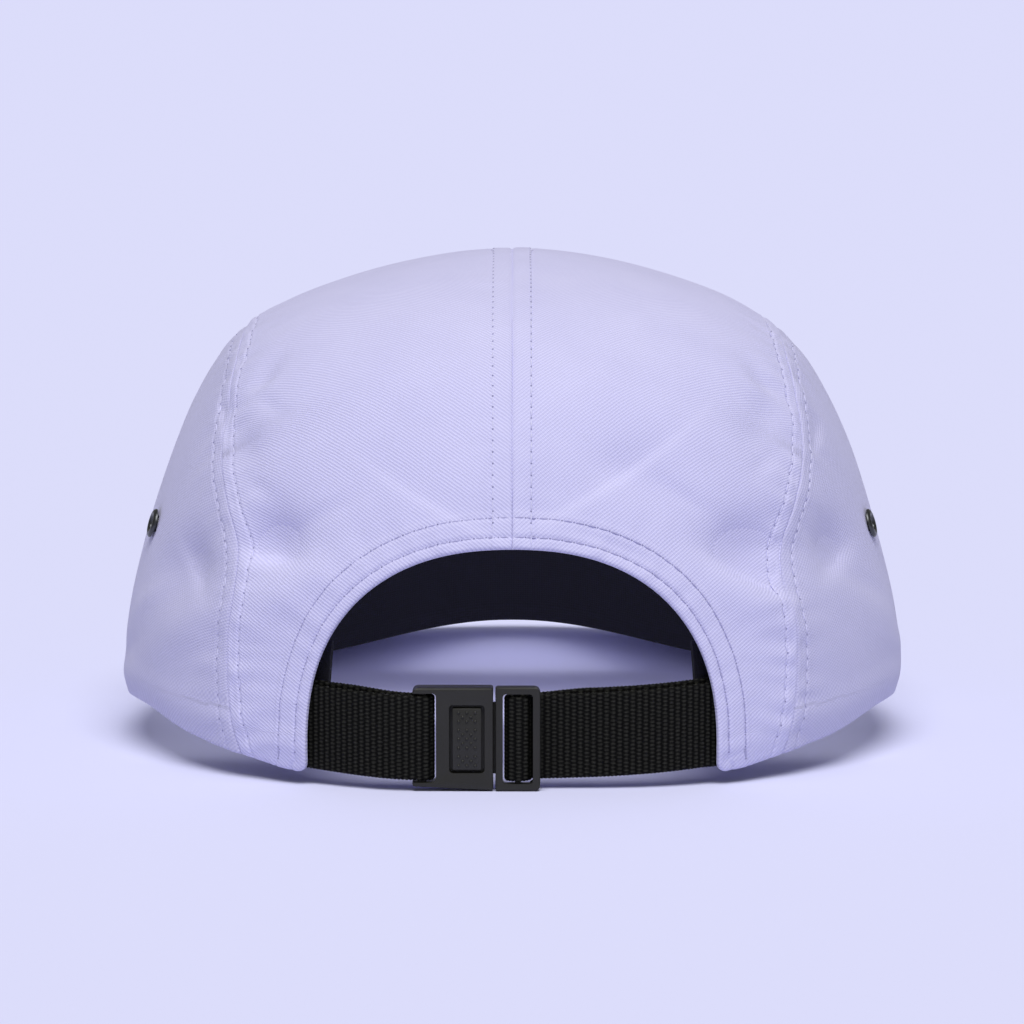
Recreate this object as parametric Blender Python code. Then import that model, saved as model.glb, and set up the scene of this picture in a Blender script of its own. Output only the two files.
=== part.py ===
# Five panel cap: one front panel, two side panels and two back panels that run up over the top, with a
# brim, a sweatband, an eyelet in each side and a webbing strap with a push buckle across the rear opening.
# The brim points to -Y, the opening to +Y and the wearer's left to +X. Lengths are in millimetres and
# are turned into metres where a mesh is made.
import math
from collections import namedtuple

import bmesh
import bpy
from mathutils import Matrix, Vector

MM = 0.001

CROWN_WIDTH = 188.0
CROWN_BACK_REACH = 93.0
CROWN_FRONT_REACH = 96.0
CROWN_HEIGHT = 113.6
CROWN_SQUARENESS = 2.15
CLOTH = 1.2
SEAM_GAP = 0.44
CLEARANCE = 0.3

ARCH_WIDTH = 95.0
ARCH_HEIGHT = 52.7
ARCH_SPRING = 7.0
ARCH_SQUARENESS = 2.3

SWEATBAND_HEIGHT = 31.0
SWEATBAND_WALL = 1.1
SWEATBAND_GAP = 0.45
SWEATBAND_SHOWS = 5.4
SWEATBAND_TUCK = 6.6

BRIM_LENGTH = 66.0
BRIM_THICKNESS = 3.0
BRIM_HALF_ANGLE = 55.0
BRIM_LIP = 3.5
BRIM_ARCH = 7.0
BRIM_BOW = 1.5
BRIM_SQUARENESS = 2.3

WEBBING_WIDTH = 19.6
WEBBING_THICKNESS = 1.2
WEBBING_HIDDEN = 7.0
STRAP_HEIGHT = 11.15
STRAP_SAG = 1.8
STRAP_BULGE = 7.6

BUCKLE_OFFSET = 4.05
BUCKLE_THICKNESS = 5.2
BUCKLE_PARTING = 0.5
FEMALE_BODY = 13.1
FEMALE_TAIL = 5.4
FEMALE_HEIGHT = 23.8
FEMALE_TAPER = 0.9
FEMALE_FRONT_WALL = 1.35
SLEEVE_DEPTH = 11.2
SLEEVE_HEIGHT = 17.0
WINDOW_WIDTH = 8.15
WINDOW_HEIGHT = 15.8
WINDOW_INSET = 1.95
LOOP_BAR = 2.0
LOOP_BAR_INSET = 2.1
MALE_WIDTH = 10.3
MALE_HEIGHT = 24.2
MALE_THICKNESS = 2.8
MALE_RAIL = 1.7
MALE_BAR_WIDTH = 1.4
MALE_BAR_THICKNESS = 1.2
BUTTON_MARGIN = 0.75
BUTTON_RECESS = 0.1
CORNER_RADIUS = 0.5

EYELET_RADIUS = 3.5
EYELET_HOLE_RADIUS = 1.5
EYELET_BARREL = 0.5
EYELET_FLANGE = 0.8
EYELET_PLAY = 0.55
EYELET_ANGLE = 77.0
EYELET_HEIGHT = 50.0

# Travel runs from 0 at the top to 1 at the hem. Height is a share of CROWN_HEIGHT, width of half the
# CROWN_WIDTH, back and front of the two reaches.
Section = namedtuple("Section", "travel height width back front")
SECTIONS = [
    Section(0.00, 1.000, 0.000, 0.000, 0.000),
    Section(0.12, 0.984, 0.190, 0.205, 0.220),
    Section(0.24, 0.935, 0.435, 0.440, 0.465),
    Section(0.34, 0.873, 0.607, 0.600, 0.650),
    Section(0.43, 0.795, 0.729, 0.725, 0.780),
    Section(0.52, 0.695, 0.808, 0.810, 0.858),
    Section(0.60, 0.590, 0.864, 0.872, 0.905),
    Section(0.68, 0.478, 0.909, 0.920, 0.940),
    Section(0.76, 0.362, 0.947, 0.957, 0.966),
    Section(0.84, 0.245, 0.978, 0.983, 0.985),
    Section(0.92, 0.125, 0.996, 0.998, 0.997),
    Section(0.97, 0.050, 1.000, 1.000, 1.000),
    Section(1.00, 0.000, 0.987, 0.992, 0.995),
]

# How far the hem stands above its height at the back, as a share of CROWN_HEIGHT. Degrees from the back.
Lift = namedtuple("Lift", "angle rise")
HEM_LIFTS = [
    Lift(-28, 0.000), Lift(0, 0.000), Lift(28, 0.000), Lift(34, 0.008), Lift(42, 0.026),
    Lift(53, 0.047), Lift(66, 0.074), Lift(88, 0.064), Lift(112, 0.048), Lift(126, 0.046),
    Lift(150, 0.056), Lift(180, 0.114), Lift(210, 0.056),
]

# A place on the crown laid out flat as a disc: the top at 0, 0, the hem on the unit circle, the back at
# along = 1 and the wearer's left at across = 1.
Place = namedtuple("Place", "across along")
SIDE_SEAM_LOW = [
    Place(0.656, 0.755), Place(0.634, 0.680), Place(0.597, 0.612), Place(0.545, 0.553),
    Place(0.513, 0.482), Place(0.505, 0.410), Place(0.496, 0.338), Place(0.476, 0.277),
    Place(0.445, 0.219), Place(0.413, 0.150), Place(0.396, 0.060),
]
SIDE_SEAM_HIGH = [Place(0.396, 0.060), Place(0.390, -0.110), Place(0.396, -0.260), Place(0.415, -0.400)]
CROSS_SEAM = [Place(0.000, -0.440), Place(0.215, -0.432), Place(0.415, -0.400)]

# Dents are below 0 and ridges above it. Angle in degrees from the back, left is +; height, length, width
# and depth are shares of CROWN_HEIGHT, and lean is the tilt of the length from level.
Fold = namedtuple("Fold", "angle height length width lean depth")
FOLDS = [
    Fold(38, 0.455, 0.120, 0.055, -6, -0.021),
    Fold(33, 0.365, 0.130, 0.050, -28, 0.010),
    Fold(60, 0.375, 0.120, 0.065, -12, -0.022),
    Fold(54, 0.270, 0.130, 0.050, -20, 0.009),
    Fold(52, 0.640, 0.110, 0.045, 20, -0.010),
    Fold(-41, 0.450, 0.150, 0.060, 4, -0.024),
    Fold(-38, 0.335, 0.150, 0.048, 24, 0.011),
    Fold(-19, 0.600, 0.150, 0.045, 26, -0.009),
    Fold(-60, 0.420, 0.120, 0.060, 16, -0.016),
    Fold(-50, 0.690, 0.110, 0.045, -18, -0.010),
    Fold(-28, 0.700, 0.160, 0.060, 12, 0.007),
    Fold(-74, 0.250, 0.120, 0.060, 8, 0.006),
]

# The brim's outer edge from a corner at 0 to the middle of the front at 1, as shares of BRIM_ARCH.
Rise = namedtuple("Rise", "turn share")
BRIM_EDGE = [
    Rise(0.00, 0.50), Rise(0.25, 0.14), Rise(0.50, 0.00), Rise(0.75, 0.46), Rise(1.00, 1.00), Rise(1.25, 0.46),
]

# The right strap's way round the male part's bar: steps from the bar, in half turns of the wrap.
Wrap = namedtuple("Wrap", "out forward")
RAIL_WRAP = [
    Wrap(-2.20, -0.82), Wrap(-1.75, -0.82), Wrap(-1.30, -0.62), Wrap(-1.03, -0.22), Wrap(-0.97, 0.20),
    Wrap(-0.68, 0.70), Wrap(0.00, 1.00), Wrap(0.68, 0.70), Wrap(1.00, 0.05), Wrap(0.88, -0.72),
    Wrap(0.35, -1.38), Wrap(-0.50, -1.70), Wrap(-1.75, -1.76),
]

LOW_STEPS = 12
HIGH_STEPS = 16
ARCH_STEPS = 8
FOOT_STEPS = 4
BRIM_STEPS = 7
BAND_STEPS = 56
ROUND_STEPS = 20

LAVENDER = (0.60, 0.58, 0.84)
BLACK = (0.022, 0.022, 0.020)
BUCKLE_GREY = (0.040, 0.040, 0.037)
GUNMETAL = (0.070, 0.072, 0.075)


def curve(knots, values, at):
    """A smooth curve through the values at the knots."""
    last = len(knots) - 1
    i = min(max(sum(knot <= at for knot in knots) - 1, 0), last - 1)
    steps = [(values[k + 1] - values[k]) / (knots[k + 1] - knots[k]) for k in range(last)]

    def slope(k):
        if k in (0, last):
            return steps[min(k, last - 1)]
        before, after = knots[k] - knots[k - 1], knots[k + 1] - knots[k]
        return (steps[k - 1] * after + steps[k] * before) / (before + after)

    width = knots[i + 1] - knots[i]
    t = (at - knots[i]) / width
    ends = values[i] * (1 + 2 * t) * (1 - t) ** 2 + values[i + 1] * t * t * (3 - 2 * t)
    return ends + width * (slope(i) * t * (1 - t) ** 2 - slope(i + 1) * t * t * (1 - t))


def mirrored(column, sign):
    """A column of SECTIONS carried on across the top, so that the crown is smooth there."""
    knots = [-row.travel for row in SECTIONS[:0:-1]] + [row.travel for row in SECTIONS]
    values = [getattr(row, column) for row in SECTIONS]
    return knots, [sign * value for value in values[:0:-1]] + values


PROFILES = {
    "height": mirrored("height", 1),
    "width": mirrored("width", -1),
    "back": mirrored("back", -1),
    "front": mirrored("front", -1),
}


def profile(column, travel):
    return curve(*PROFILES[column], travel)


def bend(value, squareness):
    return math.copysign(abs(value) ** (2 / squareness), value)


def hem_lift(angle):
    turn = abs((math.degrees(angle) + 180) % 360 - 180)
    return CROWN_HEIGHT * curve([row.angle for row in HEM_LIFTS], [row.rise for row in HEM_LIFTS], turn)


def relief(angle, height):
    """How far the folds push the cloth out at this place."""
    turn = (math.degrees(angle) + 180) % 360 - 180
    push = 0.0
    for fold in FOLDS:
        sideways = math.radians(turn - fold.angle) * CROWN_WIDTH / 2
        up = height - fold.height * CROWN_HEIGHT
        lean = math.radians(fold.lean)
        along = (sideways * math.cos(lean) + up * math.sin(lean)) / (fold.length * CROWN_HEIGHT)
        across = (up * math.cos(lean) - sideways * math.sin(lean)) / (fold.width * CROWN_HEIGHT)
        push += fold.depth * CROWN_HEIGHT * math.exp(-along * along - across * across)
    return push


def smooth_crown(place):
    travel = math.hypot(*place)
    angle = math.atan2(*place)
    reach = CROWN_BACK_REACH * profile("back", travel)
    if math.cos(angle) < 0:
        reach = CROWN_FRONT_REACH * profile("front", travel)
    x = CROWN_WIDTH / 2 * profile("width", travel) * bend(math.sin(angle), CROWN_SQUARENESS)
    y = reach * bend(math.cos(angle), CROWN_SQUARENESS)
    z = CROWN_HEIGHT * profile("height", travel) + hem_lift(angle) * travel**5
    return Vector((x, y, z))


def crown(place, depth=0.0):
    """A point of the crown, this far inside its outer face."""
    nudge = 0.004
    across, along = place
    sideways = smooth_crown((across + nudge, along)) - smooth_crown((across - nudge, along))
    backwards = smooth_crown((across, along + nudge)) - smooth_crown((across, along - nudge))
    normal = sideways.cross(backwards).normalized()
    point = smooth_crown(place)
    return point + normal * (relief(math.atan2(*place), point.z) - depth)


def on_hem(angle):
    return Place(math.sin(angle), math.cos(angle))


def solve(function, low, high, target):
    """Where a rising function meets the target."""
    for _ in range(40):
        middle = (low + high) / 2
        if function(middle) < target:
            low = middle
        else:
            high = middle
    return (low + high) / 2


def angle_at(x, travel):
    share = x / (CROWN_WIDTH / 2 * profile("width", travel))
    return math.asin(math.copysign(min(abs(share), 1.0) ** (CROWN_SQUARENESS / 2), x))


def place_at(x, height):
    """The place on the back of the crown with this sideways position and height."""

    def fall(travel):
        angle = angle_at(x, travel)
        return -smooth_crown((travel * math.sin(angle), travel * math.cos(angle))).z

    travel = solve(fall, 0.5, 1.0, -height)
    angle = angle_at(x, travel)
    return Place(travel * math.sin(angle), travel * math.cos(angle))


def resample(places, steps):
    """The same line as this many equal steps along a smooth curve."""
    run = [0.0]
    for a, b in zip(places, places[1:]):
        run.append(run[-1] + math.dist(a, b))
    stops = [run[-1] * k / steps for k in range(steps + 1)]
    columns = list(zip(*places))
    return [tuple(curve(run, column, stop) for column in columns) for stop in stops]


def flipped(places):
    return [Place(-across, along) for across, along in places]


def patch(bottom, top, left, right):
    """A grid of places between four lines that share their ends."""
    across, up = len(bottom) - 1, len(left) - 1
    grid = []
    for i in range(across + 1):
        u = i / across
        column = []
        for j in range(up + 1):
            v = j / up
            place = []
            for k in (0, 1):
                between = (1 - v) * bottom[i][k] + v * top[i][k] + (1 - u) * left[j][k] + u * right[j][k]
                corners = (1 - v) * ((1 - u) * bottom[0][k] + u * bottom[-1][k])
                corners += v * ((1 - u) * top[0][k] + u * top[-1][k])
                place.append(between - corners)
            column.append(Place(*place))
        grid.append(column)
    return grid


def pulled_in(points, gap):
    """The grid with its rim moved in by this much, towards its own next row."""
    across, up = len(points) - 1, len(points[0]) - 1
    moved = [[point.copy() for point in column] for column in points]
    for i in range(across + 1):
        for j in range(up + 1):
            inward = Vector()
            if i in (0, across):
                inward += (points[1 if i == 0 else i - 1][j] - points[i][j]).normalized()
            if j in (0, up):
                inward += (points[i][1 if j == 0 else j - 1] - points[i][j]).normalized()
            moved[i][j] += inward * gap
    return moved


def material(name, colour, roughness, metallic=0.0):
    made = bpy.data.materials.new(name)
    made.use_nodes = True
    shader = made.node_tree.nodes["Principled BSDF"]
    shader.inputs["Base Color"].default_value = (*colour, 1)
    shader.inputs["Roughness"].default_value = roughness
    shader.inputs["Metallic"].default_value = metallic
    made.diffuse_color = (*colour, 1)
    return made


def finished(name, bm, made_of, parent, place=(0, 0, 0)):
    """An object from this mesh, faces outwards, standing at a place under its parent."""
    bmesh.ops.recalc_face_normals(bm, faces=bm.faces)
    if bm.calc_volume(signed=True) < 0:
        bmesh.ops.reverse_faces(bm, faces=bm.faces)
    bmesh.ops.scale(bm, vec=(MM, MM, MM), verts=bm.verts)
    mesh = bpy.data.meshes.new(name)
    bm.to_mesh(mesh)
    bm.free()
    mesh.shade_smooth()
    mesh.set_sharp_from_angle(angle=math.radians(40))
    made = bpy.data.objects.new(name, mesh)
    mesh.materials.append(made_of)
    bpy.context.scene.collection.objects.link(made)
    made.parent = parent
    made.location = Vector(place) * MM
    return made


def sheet(name, outer, inner, made_of, parent):
    """A closed wall between two grids of points."""
    across, up = len(outer) - 1, len(outer[0]) - 1
    bm = bmesh.new()
    bmesh.ops.create_grid(bm, x_segments=across, y_segments=up, size=1)
    near, far = {}, {}
    for vert in bm.verts:
        i = round((vert.co.x + 1) / 2 * across)
        j = round((vert.co.y + 1) / 2 * up)
        near[vert] = outer[i][j]
        far[vert] = inner[i][j]
    rim = [edge for edge in bm.edges if edge.is_boundary]
    copy = bmesh.ops.duplicate(bm, geom=bm.verts[:] + bm.edges[:] + bm.faces[:])["vert_map"]
    for vert in near:
        vert.co = near[vert]
        copy[vert].co = far[vert]
    for edge in rim:
        a, b = edge.verts
        bm.faces.new((a, b, copy[b], copy[a]))
    return finished(name, bm, made_of, parent)


def cloth_panel(name, grid, made_of, parent):
    outer = pulled_in([[crown(place) for place in column] for column in grid], SEAM_GAP / 2)
    inner = pulled_in([[crown(place, CLOTH) for place in column] for column in grid], SEAM_GAP / 2)
    return sheet(name, outer, inner, made_of, parent)


def arch_places():
    """The rear opening's edge from its top down to the hem, on the wearer's left."""
    places = []
    for k in range(ARCH_STEPS):
        turn = math.radians(90) * (1 - k / (ARCH_STEPS - 1))
        x = ARCH_WIDTH / 2 * bend(math.cos(turn), ARCH_SQUARENESS)
        z = ARCH_SPRING + (ARCH_HEIGHT - ARCH_SPRING) * bend(math.sin(turn), ARCH_SQUARENESS)
        places.append(place_at(x, z))
    places.append(on_hem(angle_at(ARCH_WIDTH / 2, 1.0)))
    return places


def hem_places(start, end, steps):
    return [on_hem(start + (end - start) * k / steps) for k in range(steps + 1)]


def make_panels(cloth, parent):
    low_seam = resample(SIDE_SEAM_LOW, LOW_STEPS)
    high_seam = resample(SIDE_SEAM_HIGH, HIGH_STEPS)
    low_seam[0] = on_hem(math.atan2(*low_seam[0]))
    side_seam = low_seam + high_seam[1:]
    arch = arch_places()
    centre_seam = resample([arch[0], Place(0, 0.1), CROSS_SEAM[0]], LOW_STEPS + HIGH_STEPS)
    cross_seam = resample(CROSS_SEAM, ARCH_STEPS + FOOT_STEPS)
    back_foot = math.atan2(*arch[-1])
    seam_foot = math.atan2(*low_seam[0])
    front_foot = math.pi - math.radians(BRIM_HALF_ANGLE)
    back_hem = arch + hem_places(back_foot, seam_foot, FOOT_STEPS)[1:]
    side_hem = hem_places(seam_foot, front_foot, HIGH_STEPS)
    front_seam = resample([side_hem[-1], side_seam[-1]], LOW_STEPS)

    back = patch(back_hem, cross_seam, centre_seam, side_seam)
    side = patch(side_hem, high_seam, low_seam, front_seam)
    front_hem = hem_places(front_foot, 2 * math.pi - front_foot, 2 * (ARCH_STEPS + FOOT_STEPS))
    whole_cross = cross_seam[::-1] + flipped(cross_seam)[1:]
    front = patch(front_hem, whole_cross, front_seam, flipped(front_seam))

    cloth_panel("front_panel", front, cloth, parent)
    sides = []
    for hand, mirror in (("left", False), ("right", True)):
        back_grid = [flipped(column) for column in back] if mirror else back
        side_grid = [flipped(column) for column in side] if mirror else side
        cloth_panel("back_panel_" + hand, back_grid, cloth, parent)
        sides.append(cloth_panel("side_panel_" + hand, side_grid, cloth, parent))
    return sides


def brim_share(angle):
    """0 beside the brim and 1 over it."""
    turn = abs((math.degrees(angle) + 180) % 360 - 180)
    t = min(max((turn - (165 - BRIM_HALF_ANGLE)) / 15, 0), 1)
    return t * t * (3 - 2 * t)


def band_depth(angle):
    """How far inside the crown's outer face the sweatband runs: deeper at its ends, behind the strap."""
    turn = abs((math.degrees(angle) + 180) % 360 - 180)
    strap_end = math.degrees(angle_at(ARCH_WIDTH / 2 + WEBBING_HIDDEN, 1.0))
    t = min(max((turn - strap_end - 4) / 12, 0), 1)
    close = CLOTH + SWEATBAND_GAP
    return close + (SWEATBAND_TUCK - close) * (1 - t * t * (3 - 2 * t))


def band_point(angle, rise, depth):
    """A point of the sweatband, this high above its lower edge."""
    hem = smooth_crown(on_hem(angle)).z
    drop = brim_share(angle) * (BRIM_THICKNESS + 2 * CLEARANCE) - CLEARANCE
    height = hem - drop + rise
    if height <= hem:
        point = crown(on_hem(angle), depth)
        return Vector((point.x, point.y, height))

    def fall(travel):
        return -smooth_crown((travel * math.sin(angle), travel * math.cos(angle))).z

    travel = solve(fall, 0.5, 1.0, -height)
    return crown(Place(travel * math.sin(angle), travel * math.cos(angle)), depth)


def make_sweatband(made_of, parent):
    end_x = ARCH_WIDTH / 2 - SWEATBAND_SHOWS
    low = angle_at(end_x - SWEATBAND_TUCK, 1.0)
    high = angle_at(end_x + SWEATBAND_TUCK, 1.0)
    start = solve(lambda angle: crown(on_hem(angle), SWEATBAND_TUCK).x, low, high, end_x)
    outer, inner = [], []
    for i in range(BAND_STEPS + 1):
        angle = start + (2 * math.pi - 2 * start) * i / BAND_STEPS
        depth = band_depth(angle)
        rises = [SWEATBAND_HEIGHT * share for share in (0, 0.2, 0.6, 1)]
        outer.append([band_point(angle, rise, depth) for rise in rises])
        inner.append([band_point(angle, rise, depth + SWEATBAND_WALL) for rise in rises])
    return sheet("sweatband", outer, inner, made_of, parent)


def lowest_point():
    """The buckle hangs a little below the hem, and the brim's edge comes down to the same level."""
    return STRAP_HEIGHT - STRAP_SAG - MALE_HEIGHT / 2


def make_brim(made_of, parent):
    start = math.pi - math.radians(BRIM_HALF_ANGLE)
    corner = crown(on_hem(start))
    front = crown(on_hem(math.pi))
    steps = 2 * (ARCH_STEPS + FOOT_STEPS)
    top, bottom = [], []
    for i in range(steps + 1):
        angle = start + (2 * math.pi - 2 * start) * i / steps
        turn = math.pi * i / steps
        root = crown(on_hem(angle), CLOTH)
        root.z = smooth_crown(on_hem(angle)).z - CLEARANCE
        share = curve([row.turn for row in BRIM_EDGE], [row.share for row in BRIM_EDGE],
                      1 - abs(2 * i / steps - 1))
        edge = Vector((
            (corner.x + BRIM_LIP) * bend(math.cos(turn), BRIM_SQUARENESS),
            corner.y - (corner.y - front.y + BRIM_LENGTH) * bend(math.sin(turn), BRIM_SQUARENESS),
            lowest_point() + BRIM_THICKNESS + BRIM_ARCH * share,
        ))
        column = []
        for j in range(BRIM_STEPS + 1):
            v = j / BRIM_STEPS
            point = root.lerp(edge, v)
            point.z += BRIM_BOW * 4 * v * v * (1 - v) * math.sin(turn)
            column.append(point)
        top.append(column)
        bottom.append([point - Vector((0, 0, BRIM_THICKNESS)) for point in column])
    return sheet("brim", top, bottom, made_of, parent)


def buckle_centre():
    x, y = hidden_strap(1, ARCH_WIDTH / 2, WEBBING_THICKNESS / 2)
    return Vector((BUCKLE_OFFSET, y + STRAP_BULGE, STRAP_HEIGHT - STRAP_SAG))


def hidden_strap(side, x, inside):
    """A point this far inside the cloth's inner face, clear of it over the webbing's whole width."""
    heights = [STRAP_HEIGHT + WEBBING_WIDTH * share for share in (-0.5, 0, 0.5)]
    points = [smooth_crown(place_at(x, max(height, 0.5))) for height in heights]
    reach = min(point.y for point in points)
    ahead = min(smooth_crown(place_at(x + 1, max(height, 0.5))).y for height in heights)
    normal = Vector((reach - ahead, 1)).normalized()
    point = Vector((x, reach)) - normal * (CLOTH + CLEARANCE + inside)
    return side * point.x, point.y


def strap_route(side, inside, meet):
    """From the strap's hidden end to where it meets the buckle."""
    hidden = [hidden_strap(side, ARCH_WIDTH / 2 + WEBBING_HIDDEN * share, inside) for share in (1, 0.5, 0)]
    (xa, ya), (xb, yb) = hidden[1], hidden[2]
    slope = (yb - ya) / (xb - xa)
    route = hidden[:]
    for k in range(1, 7):
        t = k / 6
        x = xb + (meet.x - xb) * t
        rise = yb * (1 + 2 * t) * (1 - t) ** 2 + meet.y * t * t * (3 - 2 * t)
        route.append((x, rise + (meet.x - xb) * slope * t * (1 - t) ** 2))
    return route


def strap_solid(name, route, made_of, parent):
    """Webbing standing on edge along a route, sagging towards the buckle."""
    centre = buckle_centre()
    outer, inner = [], []
    for k, (x, y) in enumerate(route):
        before = Vector(route[max(k - 1, 0)])
        after = Vector(route[min(k + 1, len(route) - 1)])
        ahead = (after - before).normalized()
        aside = Vector((-ahead.y, ahead.x)) * WEBBING_THICKNESS / 2
        share = min(abs(x - centre.x) / (ARCH_WIDTH / 2), 1)
        middle = centre.z + STRAP_SAG * share * share
        low, high = middle - WEBBING_WIDTH / 2, middle + WEBBING_WIDTH / 2
        outer.append([Vector((x + aside.x, y + aside.y, z)) for z in (low, high)])
        inner.append([Vector((x - aside.x, y - aside.y, z)) for z in (low, high)])
    return sheet(name, outer, inner, made_of, parent)


def make_straps(made_of, parent):
    centre = buckle_centre()
    step = WEBBING_THICKNESS + CLEARANCE
    fold = LOOP_BAR / 2 + CLEARANCE + WEBBING_THICKNESS / 2 + 0.05
    bar_x = centre.x + BUCKLE_PARTING / 2 + FEMALE_BODY + FEMALE_TAIL - LOOP_BAR_INSET
    front = strap_route(1, WEBBING_THICKNESS / 2, Vector((bar_x + LOOP_BAR_INSET, centre.y + fold)))
    rear = strap_route(1, WEBBING_THICKNESS / 2 + step, Vector((bar_x + LOOP_BAR_INSET, centre.y - fold)))
    loop = []
    for k in range(ROUND_STEPS // 2 + 1):
        turn = math.pi * k / (ROUND_STEPS // 2)
        loop.append((bar_x - fold * math.sin(turn), centre.y + fold * math.cos(turn)))
    strap_solid("strap_left", front + loop + rear[::-1], made_of, parent)

    wrap = male_bar_half() + CLEARANCE + WEBBING_THICKNESS / 2 + 0.13
    bar = Vector((centre.x - BUCKLE_PARTING / 2 - MALE_WIDTH / 2, centre.y + male_bar_middle()))
    round_bar = resample([(bar.x + w.out * wrap, bar.y + w.forward * wrap) for w in RAIL_WRAP], 2 * ROUND_STEPS)
    front = strap_route(-1, WEBBING_THICKNESS / 2, Vector(round_bar[0]))
    rear = strap_route(-1, WEBBING_THICKNESS / 2 + step, Vector(round_bar[-1]))
    strap_solid("strap_right", front[:-1] + round_bar + rear[-2::-1], made_of, parent)


def male_bar_half():
    return math.hypot(MALE_BAR_WIDTH, MALE_BAR_THICKNESS) / 2


def male_bar_middle():
    return BUCKLE_THICKNESS / 2 - MALE_THICKNESS + MALE_BAR_THICKNESS / 2 - 0.1


def block(low, high, rounding=0.0):
    """A box between two corners, with its edges rounded by this much."""
    bm = bmesh.new()
    size = Vector(high) - Vector(low)
    bmesh.ops.create_cube(bm, size=1)
    bmesh.ops.scale(bm, vec=size, verts=bm.verts)
    bmesh.ops.translate(bm, vec=(Vector(low) + Vector(high)) / 2, verts=bm.verts)
    if rounding:
        bmesh.ops.bevel(bm, geom=bm.edges[:], offset=rounding, offset_type="OFFSET", segments=2,
                        profile=0.5, affect="EDGES", material=-1)
    return bm


def add_boolean(target, tool, operation):
    cut = target.modifiers.new(operation.lower(), "BOOLEAN")
    cut.operation = operation
    cut.solver = "EXACT"
    cut.object = tool
    tool.hide_render = True
    tool.display_type = "WIRE"


def make_buckle_female(made_of, parent):
    half = BUCKLE_THICKNESS / 2
    start = BUCKLE_PARTING / 2
    tail = start + FEMALE_BODY
    end = tail + FEMALE_TAIL
    top = FEMALE_HEIGHT / 2
    body = block((start, -half, -top), (end, half, top), CORNER_RADIUS)
    for vert in body.verts:
        if vert.co.z < 0:
            vert.co.z += FEMALE_TAPER * (vert.co.x - start) / (end - start)
    female = finished("buckle_female", body, made_of, parent)

    roof = half - FEMALE_FRONT_WALL
    sleeve = block((-1, -roof, -SLEEVE_HEIGHT / 2), (start + SLEEVE_DEPTH, roof, SLEEVE_HEIGHT / 2))
    add_boolean(female, finished("sleeve_cutter", sleeve, made_of, parent), "DIFFERENCE")
    left = start + WINDOW_INSET
    window = block((left, 0, -WINDOW_HEIGHT / 2), (left + WINDOW_WIDTH, half + 1, WINDOW_HEIGHT / 2))
    add_boolean(female, finished("window_cutter", window, made_of, parent), "DIFFERENCE")
    slot_half = WEBBING_WIDTH / 2 + CLEARANCE
    slot = block((tail, -half - 1, -slot_half), (end + 1, half + 1, slot_half + FEMALE_TAPER / 2))
    add_boolean(female, finished("tail_cutter", slot, made_of, parent), "DIFFERENCE")
    bar_x = end - LOOP_BAR_INSET
    bar = block((bar_x - LOOP_BAR / 2, -LOOP_BAR / 2, -slot_half - 0.4),
                (bar_x + LOOP_BAR / 2, LOOP_BAR / 2, slot_half + FEMALE_TAPER / 2 + 0.4), 0.35)
    for vert in bar.verts:
        vert.co.z = max(min(vert.co.z, slot_half + FEMALE_TAPER / 2 + 0.4), -slot_half - 0.4)
    add_boolean(female, finished("bar_filler", bar, made_of, parent), "UNION")
    return female


def make_buckle_male(made_of, parent):
    front = BUCKLE_THICKNESS / 2
    back = front - MALE_THICKNESS
    start = -BUCKLE_PARTING / 2
    end = start - MALE_WIDTH
    top = MALE_HEIGHT / 2
    frame = block((end, back, -top), (start, front, top), CORNER_RADIUS)
    male = finished("buckle_male", frame, made_of, parent)

    slot_half = WEBBING_WIDTH / 2 + 2 * CLEARANCE
    slot = block((end + MALE_RAIL, back - 1, -slot_half), (start - MALE_RAIL, front + 1, slot_half))
    add_boolean(male, finished("slot_cutter", slot, made_of, parent), "DIFFERENCE")
    bar_x = start - MALE_WIDTH / 2
    middle = male_bar_middle()
    bar = block((bar_x - MALE_BAR_WIDTH / 2, middle - MALE_BAR_THICKNESS / 2, -slot_half - 0.6),
                (bar_x + MALE_BAR_WIDTH / 2, middle + MALE_BAR_THICKNESS / 2, slot_half + 0.6))
    add_boolean(male, finished("rail_filler", bar, made_of, parent), "UNION")
    roof = front - FEMALE_FRONT_WALL - CLEARANCE
    tongue_half = SLEEVE_HEIGHT / 2 - CLEARANCE
    tongue = block((start - MALE_RAIL / 2, -roof, -tongue_half),
                   (-start + SLEEVE_DEPTH - CLEARANCE, roof, tongue_half))
    add_boolean(male, finished("tongue_filler", tongue, made_of, parent), "UNION")
    left = -start + WINDOW_INSET + BUTTON_MARGIN
    button_half = WINDOW_HEIGHT / 2 - BUTTON_MARGIN
    button = block((left, 0, -button_half),
                   (left + WINDOW_WIDTH - 2 * BUTTON_MARGIN, front - BUTTON_RECESS, button_half),
                   CORNER_RADIUS / 2)
    add_boolean(male, finished("button_filler", button, made_of, parent), "UNION")
    return male


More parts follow.
